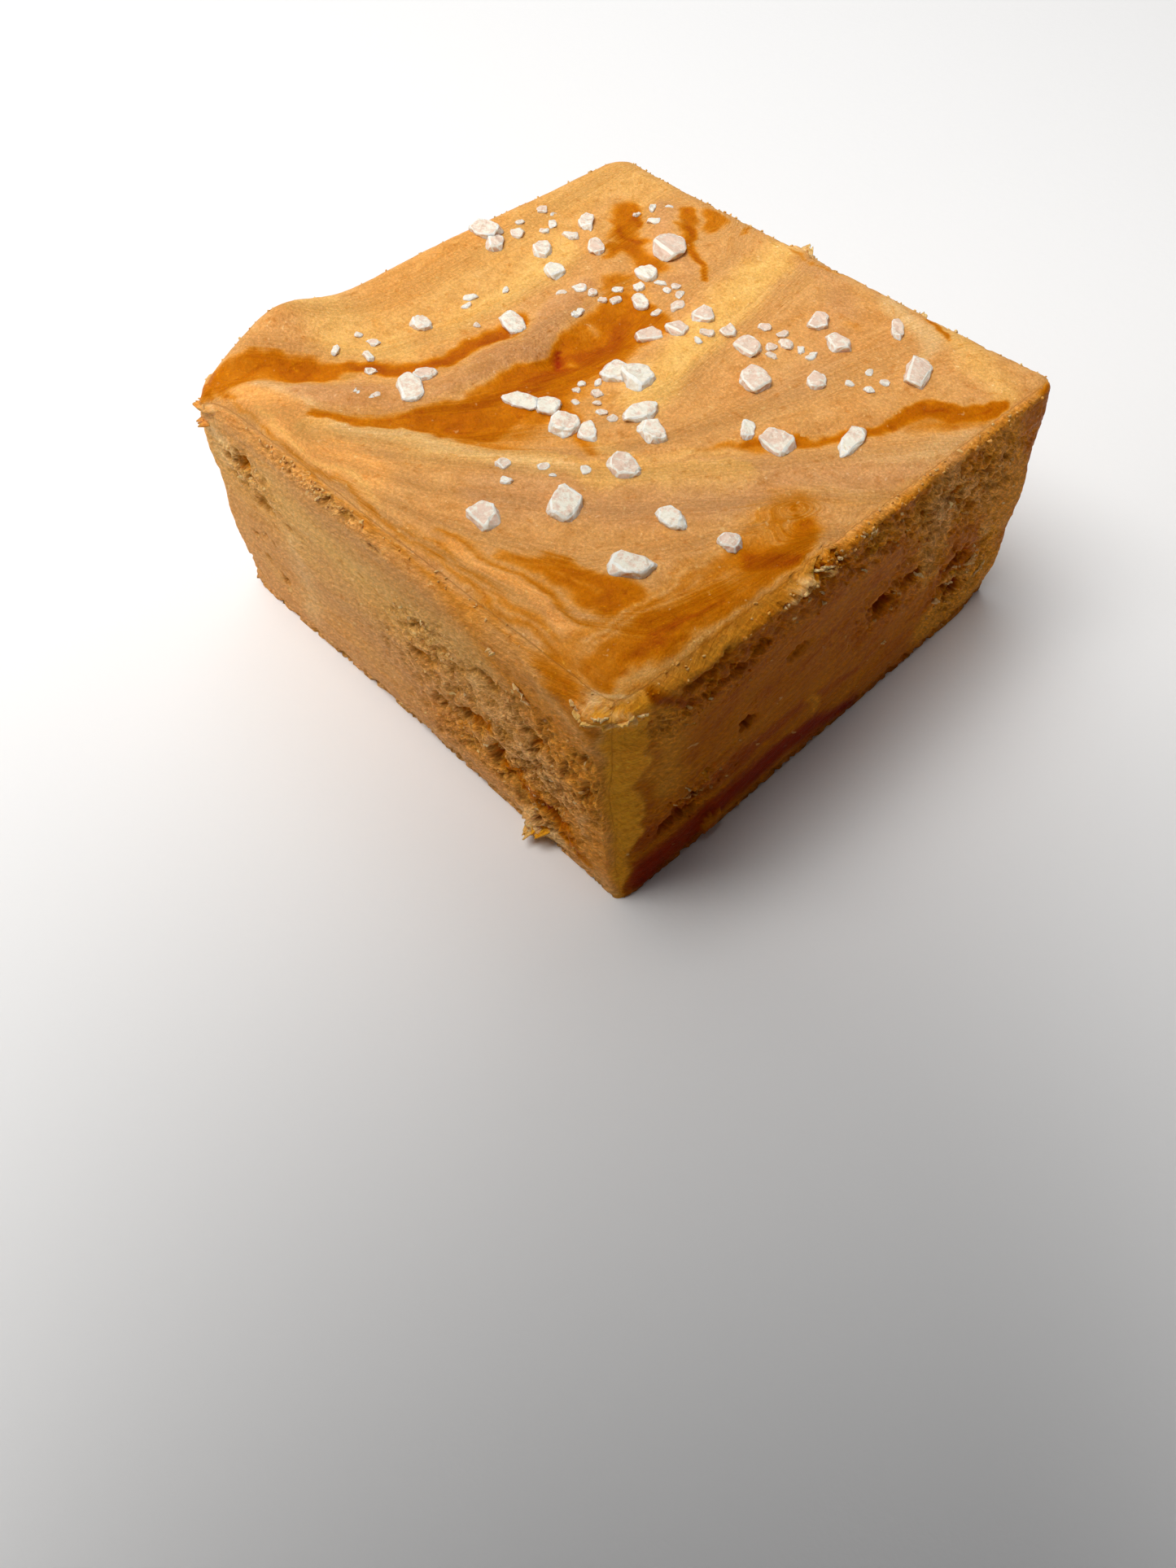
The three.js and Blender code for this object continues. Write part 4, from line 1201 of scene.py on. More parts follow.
@dataclass(frozen=True)
class FudgeFinish:
    """Waxy, fine-grained fudge whose colours come from the mesh's own attributes.

    Attributes:
        name: The material's name.
        pours: The caramel's colours, each from a thickness up, as a share of the thickest.
        thickest: The thickness that the last of them stands for.
        shows: Between which thicknesses the caramel comes to hide the pale fudge.
        uneven: How much the thread and the mottle change that thickness.
        sheen_of_fat: Weight of light that wanders below the surface.
        wander: How far red, green and blue light wander, in mm.
        flat_tint: One colour for the whole piece, or None to read the mesh's.
        flat_caramel: How thick the caramel lies at most where the colour is flat.
        thread: Fine streaks that run along the fold or the drag.
        fibre: Finer streaks along them.
        mottle: Soft unevenness of the colour.
        blotch: Broader unevenness.
        specks: The sugar grain.
        pores: Tiny dark pits.
        grain: Ragged grain along the way the side was torn.
        flecks: Pale crumbs in that grain.
        clods: Coarser lumps of it.
        streaked: Darker streaks, by the thread.
        warmed: Warmer blotches.
        clouded: Paler cloudy places, by the mottle.
        sugared: Bright sugar grain, by the specks.
        sugar_left: How much of it shows, by the blotches.
        pitted: Dark pores.
        fibrous: Dark fibres.
        crumbled: How much of the torn grain shows, by how crumbly the side is.
        glazed: How much of it the caramel leaves.
        sunk: Dark hollows of the grain.
        raised: Its bright lumps.
        fleck: The colour of its pale flecks.
        flecked: Where they show.
        gloss: The roughness, by the thickness of the caramel.
        relief: How high the specks, pores, thread, mottle, grain, fibre and clods stand.
        relief_depth: How deep the relief looks, in mm.
    """

    name: str
    pours: tuple[tuple[float, Rgb], ...] = (
        (0.10, (0.80, 0.36, 0.06)),
        (0.30, (0.70, 0.255, 0.015)),
        (0.50, (0.57, 0.16, 0)),
        (0.68, (0.43, 0.088, 0)),
        (0.95, (0.30, 0.02, 0)),
    )
    thickest: float = 1.5
    shows: Fade = Fade((0.10, 0.66))
    uneven: Place = (0.7, 0.5)
    sheen_of_fat: float = 0.3
    wander: Rgb = (0.6, 0.3, 0.12)
    flat_tint: Rgb | None = None
    flat_caramel: float = 0.3
    thread: Pattern = Pattern(1.7, 5.0, 0.65)
    fibre: Pattern = Pattern(6.5, 3.0, 0.7)
    mottle: Pattern = Pattern(330.0, 6.0, 0.65)
    blotch: Pattern = Pattern(160.0, 3.0, 0.6)
    specks: Pattern = Pattern(2600.0, 2.0, 0.7)
    pores: Pattern = Pattern(1500.0, 3.0, 0.65)
    grain: Pattern = Pattern(4.6, 3.0, 0.8)
    flecks: Pattern = Pattern(1.4, 2.0, 0.6)
    clods: Pattern = Pattern(1.2, 4.0, 0.7)
    streaked: Wash = Wash((0.90, 0.74, 0.42), Fade((0.44, 0.70), (0.0, 0.42)))
    warmed: Wash = Wash((0.97, 0.89, 0.80), Fade((0.42, 0.66), (0.0, 0.6)))
    clouded: Wash = Wash((1.06, 1.13, 1.25), Fade((0.52, 0.72), (0.0, 0.6)))
    sugared: Wash = Wash((1.25, 1.6, 2.4), Fade((0.62, 0.76)))
    sugar_left: Fade = Fade((0.40, 0.62), (0.15, 1.0))
    pitted: Wash = Wash((0.80, 0.62, 0.34), Fade((0.30, 0.42), (0.6, 0.0)))
    fibrous: Wash = Wash((0.80, 0.74, 0.62), Fade((0.60, 0.36), (0.0, 0.7)))
    crumbled: Fade = Fade((0.0, 1.0), (0.38, 1.25))
    glazed: Fade = Fade((0.3, 0.9), (1.0, 0.6))
    sunk: Wash = Wash((0.68, 0.60, 0.45), Fade((0.52, 0.34)))
    raised: Wash = Wash((1.6, 1.6, 1.6), Fade((0.48, 0.66)))
    fleck: Rgb = (0.95, 0.66, 0.26)
    flecked: Fade = Fade((0.68, 0.74))
    gloss: Fade = Fade((0.2, 1.0), (0.58, 0.42))
    relief: tuple[float, ...] = (1.0, 1.2, 1.6, 1.2, 1.0, 1.0, 4.0)
    relief_depth: float = 0.1

    def sources(self, bench: NodeBench, place: Socket) -> list[Socket | Rgb]:
        """Returns the pale colour, and the sockets of the streak, the caramel, the crumb and the tear."""
        if self.flat_tint is None:
            kinds = (("tint", "Color"), ("streak", "Vector"), ("caramel", "Fac"), ("crumb", "Fac"),
                     ("tear", "Vector"))
            return [bench.add("Attribute", attribute_name=name).outputs[kind] for name, kind in kinds]
        in_mm = bench.add("VectorMath", operation="SCALE")
        in_mm.inputs["Scale"].default_value = 1.0 / MM
        bench.link(place, in_mm.inputs[0])
        soft = bench.noise(place, Pattern(self.blotch.scale))
        place_in_mm = in_mm.outputs["Vector"]
        return [self.flat_tint, place_in_mm, bench.times(soft, self.flat_caramel), soft, place_in_mm]

    def material(self) -> bpy.types.Material:
        """Returns a new material with this finish."""
        bench = NodeBench(self.name)
        place = bench.add("TexCoord").outputs["Object"]
        pale, streak, caramel, crumb, tear = self.sources(bench, place)
        thread, fibre = (bench.noise(streak, pattern) for pattern in (self.thread, self.fibre))
        mottle, blotch, specks, pores = (
            bench.noise(place, pattern) for pattern in (self.mottle, self.blotch, self.specks, self.pores))
        grain, flecks, clods = (
            bench.noise(tear, pattern) for pattern in (self.grain, self.flecks, self.clods))
        centred = [bench.math("SUBTRACT", value, 0.5) for value in (thread, mottle)]
        depth = bench.math("ADD", caramel, bench.total(*zip(centred, self.uneven)))
        for value, wash in ((thread, self.streaked), (blotch, self.warmed), (mottle, self.clouded)):
            pale = bench.wash(pale, value, wash)
        poured = bench.ramp(bench.math("DIVIDE", depth, self.thickest), self.pours)
        colour = bench.mix(bench.fade(depth, self.shows), pale, poured)
        colour = bench.wash(colour, specks, self.sugared, bench.fade(blotch, self.sugar_left))
        colour = bench.wash(colour, pores, self.pitted)
        colour = bench.wash(colour, fibre, self.fibrous)
        grit = bench.times(bench.fade(crumb, self.crumbled), bench.fade(depth, self.glazed))
        colour = bench.wash(colour, grain, self.sunk, grit)
        colour = bench.wash(colour, grain, self.raised, grit)
        colour = bench.mix(bench.times(bench.fade(flecks, self.flecked), grit), colour, self.fleck)
        bench.link(colour, bench.shader.inputs["Base Color"])
        bench.link(bench.fade(depth, self.gloss), bench.shader.inputs["Roughness"])
        bench.set(Subsurface_Weight=self.sheen_of_fat, Subsurface_Radius=self.wander, Subsurface_Scale=MM,
                  IOR=1.45, Specular_IOR_Level=0.06, Specular_Tint=(1.0, 0.72, 0.3, 1.0))
        heights = (specks, pores, thread, mottle, grain, fibre, bench.times(clods, crumb))
        bench.bump(bench.total(*zip(heights, self.relief)), strength=0.7, distance=self.relief_depth)
        return bench.material


def finished_object(name: str, bm: Mesh, finishes: Sequence[bpy.types.Material],
                    smooth: bool) -> bpy.types.Object:
    """Turns a bmesh in millimetres into an object of the scene, in metres.

    Args:
        name: The piece's name.
        bm: Its shape, which is freed.
        finishes: Its materials, in the order of their slots.
        smooth: Whether its faces are shaded smooth.

    Returns:
        The new object, at the origin.
    """
    bmesh.ops.scale(bm, vec=(MM, MM, MM), verts=bm.verts)
    for face in bm.faces:
        face.smooth = smooth
    mesh = bpy.data.meshes.new(name)
    bm.to_mesh(mesh)
    bm.free()
    for material in finishes:
        mesh.materials.append(material)
    obj = bpy.data.objects.new(name, mesh)
    bpy.context.scene.collection.objects.link(obj)
    LOG.info("%s: %d faces", name, len(mesh.polygons))
    return obj


class SkinLayers:
    """The mesh's own attributes, which the fudge's material reads."""

    def __init__(self, bm: Mesh) -> None:
        """Adds them to a mesh."""
        layers = bm.verts.layers
        self.tint = layers.float_color.new("tint")
        self.caramel = layers.float.new("caramel")
        self.crumb = layers.float.new("crumb")
        self.streak = layers.float_vector.new("streak")
        self.tear = layers.float_vector.new("tear")

    def note(self, vert: Vert, skin: Skin) -> None:
        """Notes at a vertex what the skin is like there."""
        vert[self.tint] = (*skin.tint, 1.0)
        vert[self.caramel] = skin.caramel
        vert[self.crumb] = skin.crumb
        vert[self.streak] = skin.streak
        vert[self.tear] = skin.tear


@dataclass
class FudgeBlock:
    """The block itself: a fine skin over the solid's form.

    Attributes:
        form: The form that it follows.
        cells_across: Cells along X and along Y.
        cells_high: Cells up each side.
    """

    form: FudgeForm
    cells_across: int = 180
    cells_high: int = 84

    def grid(self) -> Mesh:
        """Returns a box from -1 to 1 with a fine grid on all but its underside."""
        bm = bmesh.new()
        bmesh.ops.create_cube(bm, size=2.0)
        under = [f for f in bm.faces if f.calc_center_median().z < -0.5]
        bmesh.ops.delete(bm, geom=under, context="FACES")
        for axis, cells in enumerate((self.cells_across, self.cells_across, self.cells_high)):
            edges = [e for e in bm.edges if abs(e.verts[0].co[axis] - e.verts[1].co[axis]) > 1.0]
            bmesh.ops.subdivide_edges(bm, edges=edges, cuts=cells - 1, use_grid_fill=True)
        return bm

    def shape(self, bm: Mesh) -> None:
        """Carries the grid onto the fudge's form and notes the skin at each of its points."""
        layers = SkinLayers(bm)
        for vert in bm.verts:
            a, b, c = (self.form.crowd(value) for value in vert.co)
            spot = self.form.spot(a, b, (c + 1.0) / 2.0)
            vert.co = spot.place
            layers.note(vert, spot.skin)

    def cut_flat(self, bm: Mesh) -> None:
        """Cuts the block off at the floor and closes it with a flat underside."""
        geom = [*bm.verts, *bm.edges, *bm.faces]
        bmesh.ops.bisect_plane(bm, geom=geom, plane_co=(0, 0, 0), plane_no=(0, 0, 1), clear_inner=True)
        rim = [e for e in bm.edges if e.is_boundary]
        for face in bmesh.ops.holes_fill(bm, edges=rim, sides=0)["faces"]:
            face.material_index = 1
        bmesh.ops.recalc_face_normals(bm, faces=bm.faces)

    def build(self) -> bpy.types.Object:
        """Builds and dresses the block, which stands for the solid's node, and returns it."""
        bm = self.grid()
        self.shape(bm)
        self.cut_flat(bm)
        finishes = [
            FudgeFinish("swirled fudge").material(),
            FudgeFinish("fudge underside", flat_tint=Tone.TAN.value).material(),
        ]
        obj = finished_object("fudge_block", bm, finishes, smooth=True)
        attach(obj, "root")
        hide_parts("fudge")
        return obj


class Draws:
    """A repeatable run of numbers, the same as the solid's source draws."""

    def __init__(self, seed: int) -> None:
        """Starts the run from a seed."""
        self.state = seed

    def __call__(self) -> float:
        """Returns the next number, from 0 to 1."""
        self.state = (self.state * 1664525 + 1013904223) % 4294967296
        return self.state / 4294967296

    def between(self, low: float, high: float) -> float:
        """Returns the next number, from low to high."""
        return blend(low, high, self())


@dataclass(frozen=True)
class SaltFinish:
    """Cloudy salt with a faint blush, clearer in some grains than in others.

    Attributes:
        name: The material's name.
        body: The colour of its clear part.
        frost: The colour of its cloudy part.
        clear: How much light goes through its clear part.
        least_clear: How much goes through its cloudy part.
        cloud: Between which values of a soft noise the clear part turns cloudy.
        wander: How far light wanders in it, in mm.
        clouds: The noise of its cloudy parts.
        chips: The noise of its chipped surface.
    """

    name: str
    body: Rgb = (1.0, 0.69, 0.54)
    frost: Rgb = (1.0, 0.86, 0.73)
    clear: float = 0.14
    least_clear: float = 0.04
    cloud: Place = (0.42, 0.62)
    wander: float = 0.2
    clouds: Pattern = Pattern(1900.0, 4.0, 0.75)
    chips: Pattern = Pattern(2800.0, 4.0, 0.7)

    def material(self) -> bpy.types.Material:
        """Returns a new material with this finish."""
        bench = NodeBench(self.name)
        place = bench.add("TexCoord").outputs["Object"]
        cloudy = bench.add("Attribute", attribute_name="cloudy").outputs["Fac"]
        cloud = bench.math("ADD", bench.noise(place, self.clouds), cloudy)
        frosted = bench.mix(bench.fade(cloud, Fade(self.cloud)), self.body, self.frost)
        bench.link(frosted, bench.shader.inputs["Base Color"])
        clear = bench.fade(cloud, Fade(self.cloud, (self.clear, self.least_clear)))
        bench.link(clear, bench.shader.inputs["Transmission Weight"])
        bench.set(Roughness=0.26, IOR=1.54, Specular_IOR_Level=0.35, Subsurface_Weight=1.0,
                  Subsurface_Radius=(1.0, 0.95, 0.9), Subsurface_Scale=self.wander * MM)
        bench.bump(bench.noise(place, self.chips), strength=0.8, distance=0.14)
        return bench.material


@dataclass(frozen=True)
class Grain:
    """One grain of salt on the plan of the top: its place, its size and its turn in degrees."""

    x: float
    y: float
    length: float
    width: float
    turn: float

    def clears(self, other: "Grain") -> bool:
        """Returns whether the grain lies clear of another one."""
        return math.hypot(other.x - self.x, other.y - self.y) > (other.length + self.length) / 2.0


@dataclass(frozen=True)
class Drift:
    """A place where finer grains fell: how far they lie from it, how many they are and how long."""

    x: float
    y: float
    spread: float
    grains: int
    longest: float


COARSE_GRAINS = (
    Grain(-18.9, 5, 2.6, 2, 10),
    Grain(-17.2, 4.6, 2, 1.5, -40),
    Grain(-14.8, 11.3, 2.1, 1.3, -40),
    Grain(-12, 9.6, 2, 1.3, -30),
    Grain(-14.4, 6.6, 2.1, 1.5, -45),
    Grain(-12, 5.4, 2.1, 1.5, -20),
    Grain(-8.2, 13.3, 3.4, 2.5, -45),
    Grain(-7.1, 9.9, 1.8, 1.6, 0),
    Grain(-0.6, 8.8, 1.9, 1.7, 20),
    Grain(-0.9, 6.5, 1.9, 1.5, 0),
    Grain(-2.1, 5, 1.8, 1.6, 60),
    Grain(-5.3, 7.3, 2.1, 1.2, -30),
    Grain(-9.3, -0.8, 2.9, 1.7, -30),
    Grain(-13.7, -5.2, 1.8, 1.5, -10),
    Grain(-8.8, -10.2, 3.1, 1.8, -25),
    Grain(-9.2, -8.6, 1.7, 1.5, 30),
    Grain(-0.6, 0.5, 2.2, 2.1, 20),
    Grain(1, 0.9, 2.8, 2.5, -20),
    Grain(3.5, -1.4, 2.7, 1.6, 70),
    Grain(5.2, -2.1, 2.4, 1.6, -15),
    Grain(-2.9, -5.8, 2.9, 1.5, 20),
    Grain(-1.2, -5, 1.9, 1.6, -40),
    Grain(0.8, -5.5, 2.4, 2, 30),
    Grain(2.3, -5, 2, 1.3, -40),
    Grain(6.1, -5.7, 2.5, 1.9, -20),
    Grain(6.3, -10.5, 3.1, 2.1, -55),
    Grain(3.5, -14.5, 2.4, 1.8, -10),
    Grain(12.4, -11.3, 3.1, 2.1, 30),
    Grain(11.4, -6.9, 2.2, 1.7, -30),
    Grain(15, -5.8, 1.6, 1.5, 0),
    Grain(11.2, 2.7, 2.6, 2.1, 0),
    Grain(9.1, 2.3, 2, 1.1, -45),
    Grain(14.4, 6, 3.2, 1.3, -70),
    Grain(6.3, 6.2, 2.6, 2.1, -20),
    Grain(9, 9, 2.2, 1.3, -55),
    Grain(3.6, 8.5, 2, 1.8, 0),
    Grain(5, 14, 2.2, 1.5, -70),
    Grain(7.5, 13.1, 2, 1.7, -20),
    Grain(9.3, 17.1, 2.4, 1.1, -55),
    Grain(13.2, 14.3, 3.2, 1.8, -60),
)

DRIFTS = (
    Drift(-15.5, 8.5, 3.2, 7, 1.4),
    Drift(-5.5, 8.3, 2.6, 9, 1.4),
    Drift(-8.3, 4.6, 1.8, 5, 1.4),
    Drift(-11.6, 15.6, 1.8, 4, 1.3),
    Drift(5, 11.2, 2.2, 7, 1.4),
    Drift(0.5, 8, 1.8, 3, 1.4),
    Drift(0.5, -3.2, 3.4, 8, 1.2),
    Drift(-12.5, -10.5, 3.4, 7, 1.4),
    Drift(-11.8, -0.8, 2.6, 4, 1.2),
    Drift(2.5, -9, 3.4, 5, 1.1),
    Drift(11.8, 11.2, 1.8, 4, 1.1),
)


@dataclass
class SaltTopping:
    """The salt on the top: coarse grains, and drifts of finer ones, at the solid's own places.

    Attributes:
        form: The form that it lies on.
        seed: Starts the run of numbers that the solid draws too, and the noise that chips the grains.
        corners: Corners that a grain's shape is drawn round.
        coarse: The coarse grains.
        drifts: The places where finer grains fell.
        shortest_share: Length of the shortest grain of a drift, as a share of the longest.
        slender: Least and greatest width of such a grain, as a share of its length.
        thickness: A grain's thickness, as a share of its width.
        sunk: How much of its thickness is sunk in the fudge.
        tipped: How far it may be tipped, in degrees.
        boxy: How square its plan is, from round at 0.
        corner_reach: Least and greatest reach of its corners, as a share of half its size.
        corner_stray: How far they stray round it.
        top_share: How much smaller its top is.
        flatness: How flat its top and its foot are.
        tries: How often a grain of a drift is thrown again if it hits another one.
        flat_within: Faces that differ by less than this angle, in radians, become one.
        edge_wear: How wide its worn edges are, as a share of its width.
        long_edge: Length from which an edge is divided, to be chipped.
        chips: How deep, and how finely, its surface is chipped.
        cloudy: How much clearer or cloudier than the mean a grain may be.
    """

    form: FudgeForm
    seed: int = 2931
    corners: int = 14
    coarse: tuple[Grain, ...] = COARSE_GRAINS
    drifts: tuple[Drift, ...] = DRIFTS
    shortest_share: float = 0.5
    slender: Place = (0.55, 0.95)
    thickness: float = 0.34
    sunk: float = 0.36
    tipped: float = 7.0
    boxy: float = 0.6
    corner_reach: Place = (0.76, 1.2)
    corner_stray: float = 0.9
    top_share: float = 0.86
    flatness: float = 0.7
    tries: int = 24
    flat_within: float = 0.3
    edge_wear: float = 0.05
    long_edge: float = 0.4
    chips: tuple[Place, ...] = ((0.09, 2.3), (0.05, 6.1))
    cloudy: Place = (-0.08, 0.12)

    def thrown(self, drift: Drift, draw: Draws) -> Grain:
        """Returns one grain of a drift, thrown at random."""
        bearing = 2.0 * math.pi * draw()
        reach = drift.spread * math.sqrt(draw())
        length = drift.longest * draw.between(self.shortest_share, 1.0)
        width = length * draw.between(*self.slender)
        x = drift.x + reach * math.cos(bearing)
        y = drift.y + reach * math.sin(bearing)
        return Grain(x, y, length, width, 180.0 * draw())

    def places(self, draw: Draws) -> list[Grain]:
        """Returns every grain: the coarse ones, then the drifts, each tried until it lies clear."""
        grains = list(self.coarse)
        for drift in self.drifts:
            for _ in range(drift.grains):
                for _ in range(self.tries):
                    grain = self.thrown(drift, draw)
                    if all(grain.clears(other) for other in grains):
                        grains.append(grain)
                        break
        return grains

    def chipped(self, place: Vector) -> Vector:
        """Returns how far the chips move a place on a grain."""
        moved = (depth * noise.noise_vector(place * fineness) for depth, fineness in self.chips)
        return sum(moved, Vector())

    def add_grain(self, bm: Mesh, grain: Grain, draw: Draws) -> list[Vert]:
        """Adds one grain, the worn hull of corners round its top and its foot, and returns its vertices."""
        half = Vector((grain.length, grain.width, grain.width * self.thickness)) / 2.0
        verts = []
        for k in range(self.corners):
            on_top = k % 2 == 0
            bearing = 2.0 * math.pi * (k + self.corner_stray * draw()) / self.corners
            widest = max(abs(math.cos(bearing)), abs(math.sin(bearing)))
            reach = draw.between(*self.corner_reach) / blend(1.0, widest, self.boxy)
            reach *= self.top_share if on_top else 1.0
            rise = draw.between(self.flatness, 1.0) * (1.0 if on_top else -1.0)
            corner = Vector((reach * math.cos(bearing), reach * math.sin(bearing), rise))
            verts.append(bm.verts.new(corner * half))
        hull = bmesh.ops.convex_hull(bm, input=verts)
        inner = [v for v in hull["geom_interior"] if isinstance(v, Vert)]
        bmesh.ops.delete(bm, geom=inner, context="VERTS")
        verts = [v for v in verts if v.is_valid]
        edges = list({e for v in verts for e in v.link_edges})
        bmesh.ops.dissolve_limit(bm, angle_limit=self.flat_within, verts=verts, edges=edges)
        edges = list({e for v in verts if v.is_valid for e in v.link_edges})
        worn = bmesh.ops.bevel(bm, geom=edges, offset=self.edge_wear * grain.width, segments=1, profile=0.5,
                               affect="EDGES", clamp_overlap=True, material=-1)
        for face in worn["faces"]:
            face.material_index = 1
        bmesh.ops.triangulate(bm, faces=list({f for v in worn["verts"] for f in v.link_faces}))
        near = {e for f in worn["faces"] for v in f.verts for e in v.link_edges}
        long_edges = [e for e in near if e.calc_length() > self.long_edge]
        bmesh.ops.subdivide_edges(bm, edges=long_edges, cuts=2, use_grid_fill=True)
        number = bm.verts.layers.int["grain"]
        verts = [v for v in bm.verts if not v[number]]
        tip = Matrix.Rotation(math.radians(self.tipped * (2.0 * draw() - 1.0)), 4, "X")
        turn = Matrix.Rotation(math.radians(grain.turn), 4, "Z")
        rise = self.form.top.height(grain.x, grain.y) + half.z * (1.0 - 2.0 * self.sunk)
        place = Matrix.Translation((grain.x, grain.y, rise))
        bmesh.ops.transform(bm, matrix=place @ turn @ tip, verts=verts)
        return verts

    def build(self) -> bpy.types.Object:
        """Builds and dresses the salt, which stands for the node's grains, and returns it."""
        noise.seed_set(self.seed)
        draw = Draws(self.seed)
        look = Draws(self.seed + 1)
        bm = bmesh.new()
        bm.verts.layers.int.new("grain")
        bm.verts.layers.float.new("cloudy")
        for count, grain in enumerate(self.places(draw), start=1):
            shade = look.between(*self.cloudy)
            for vert in self.add_grain(bm, grain, draw):
                vert[bm.verts.layers.int["grain"]] = count
                vert[bm.verts.layers.float["cloudy"]] = shade
                vert.co += self.chipped(vert.co)
        bmesh.ops.recalc_face_normals(bm, faces=bm.faces)
        edges = SaltFinish("frosted salt edges", (1.0, 0.88, 0.77), (1.0, 0.93, 0.85), 0.05)
        finishes = [finish.material() for finish in (SaltFinish("coarse salt"), edges)]
        obj = finished_object("salt_grains", bm, finishes, smooth=False)
        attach(obj, "root")
        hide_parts("fudge")
        return obj


@dataclass(frozen=True)
class Flake:
    """A thin ragged scrap that the knife left hanging on a cut side.

    Attributes:
        side: The side that it hangs on.
        along: Its place along the side.
        up: Its place up the side.
        length: Its length along the side.
        reach: How far it stands out.
        lift: How far its free edge bends up, or down where negative.
        turn: How far it is turned in the side, in degrees.
        tone: Its colour.
    """

    side: CutSide
    along: float
    up: float
    length: float
    reach: float
    lift: float = 0.0
    turn: float = 0.0
    tone: Tone = Tone.PALE


@dataclass(frozen=True)
class Patch:
    """The part of a side that takes scraps: half its length, and its lowest and highest places."""

    half_long: float
    low: float
    high: float

    def holds(self, along: float, up: float) -> bool:
        """Returns whether a place lies in it."""
        return abs(along) < self.half_long and self.low < up < self.high


FLAKES = (
    Flake(CutSide.MINUS_Y, 17.9, 17.4, 1.5, 0.5, -0.1, 12, Tone.YELLOW),
    Flake(CutSide.MINUS_Y, 18.9, 17.7, 1, 0.6, 0.1, -6),
    Flake(CutSide.MINUS_Y, 16.8, 17.3, 0.9, 0.4, 0.1, 16),
    Flake(CutSide.PLUS_X, -18.9, 17.6, 1.1, 0.5, 0, -14, Tone.YELLOW),
    Flake(CutSide.PLUS_X, -17.6, 17.4, 0.9, 0.4, 0.1, 12),
    # This flake takes the honey colour, which carries painted light.
    Flake(CutSide.MINUS_Y, 13.4, 1.7, 1.3, 1.1, -0.35, 14, Tone.HONEY_AND_PAINTED_LIGHT),
    Flake(CutSide.MINUS_Y, 12.6, 1.1, 0.9, 0.9, -0.2, -10, Tone.YELLOW),
    Flake(CutSide.MINUS_Y, 12.4, 14.4, 1.9, 0.5, 0.3, 35),
    Flake(CutSide.MINUS_Y, 10.2, 16.4, 0.8, 0.5, 0.1, 0),
    Flake(CutSide.MINUS_Y, 3.3, 13.2, 0.8, 0.4, 0.1, 60),
    Flake(CutSide.MINUS_Y, -19, 16.6, 1.2, 0.8, 0.1, 0, Tone.ORANGE),
    Flake(CutSide.MINUS_X, -19.2, 16.8, 1.4, 0.9, 0.1, 0, Tone.ORANGE),
    Flake(CutSide.PLUS_X, -3, 17.8, 1.4, 0.6, 0.2, 15),
    Flake(CutSide.PLUS_X, -6.2, 17.7, 1.1, 0.5, 0.1, -20),
    Flake(CutSide.PLUS_X, 1.5, 17.8, 0.9, 0.4, 0.1, 10),
    Flake(CutSide.PLUS_X, 13.6, 6.4, 1.4, 0.6, 0.3, 20),
    Flake(CutSide.PLUS_X, 15.4, 6.2, 1.2, 0.6, 0.2, -30),
    Flake(CutSide.PLUS_X, 17.2, 4.2, 1.6, 0.5, 0.2, -45),
    Flake(CutSide.PLUS_X, 11.6, 4.8, 1, 0.5, 0.1, 10),
    Flake(CutSide.PLUS_X, 8.4, 9.4, 1, 0.5, 0.2, 50),
    Flake(CutSide.PLUS_X, 5.8, 5, 0.7, 0.4, 0.1, 0),
    Flake(CutSide.PLUS_X, -12.4, 7.4, 1.4, 0.5, 0.1, 80, Tone.GOLD),
    Flake(CutSide.PLUS_Y, -1.5, 18.1, 1.2, 0.6, 0.2, 0),
    Flake(CutSide.PLUS_Y, 9, 18, 1, 0.5, 0.1, 10),
)


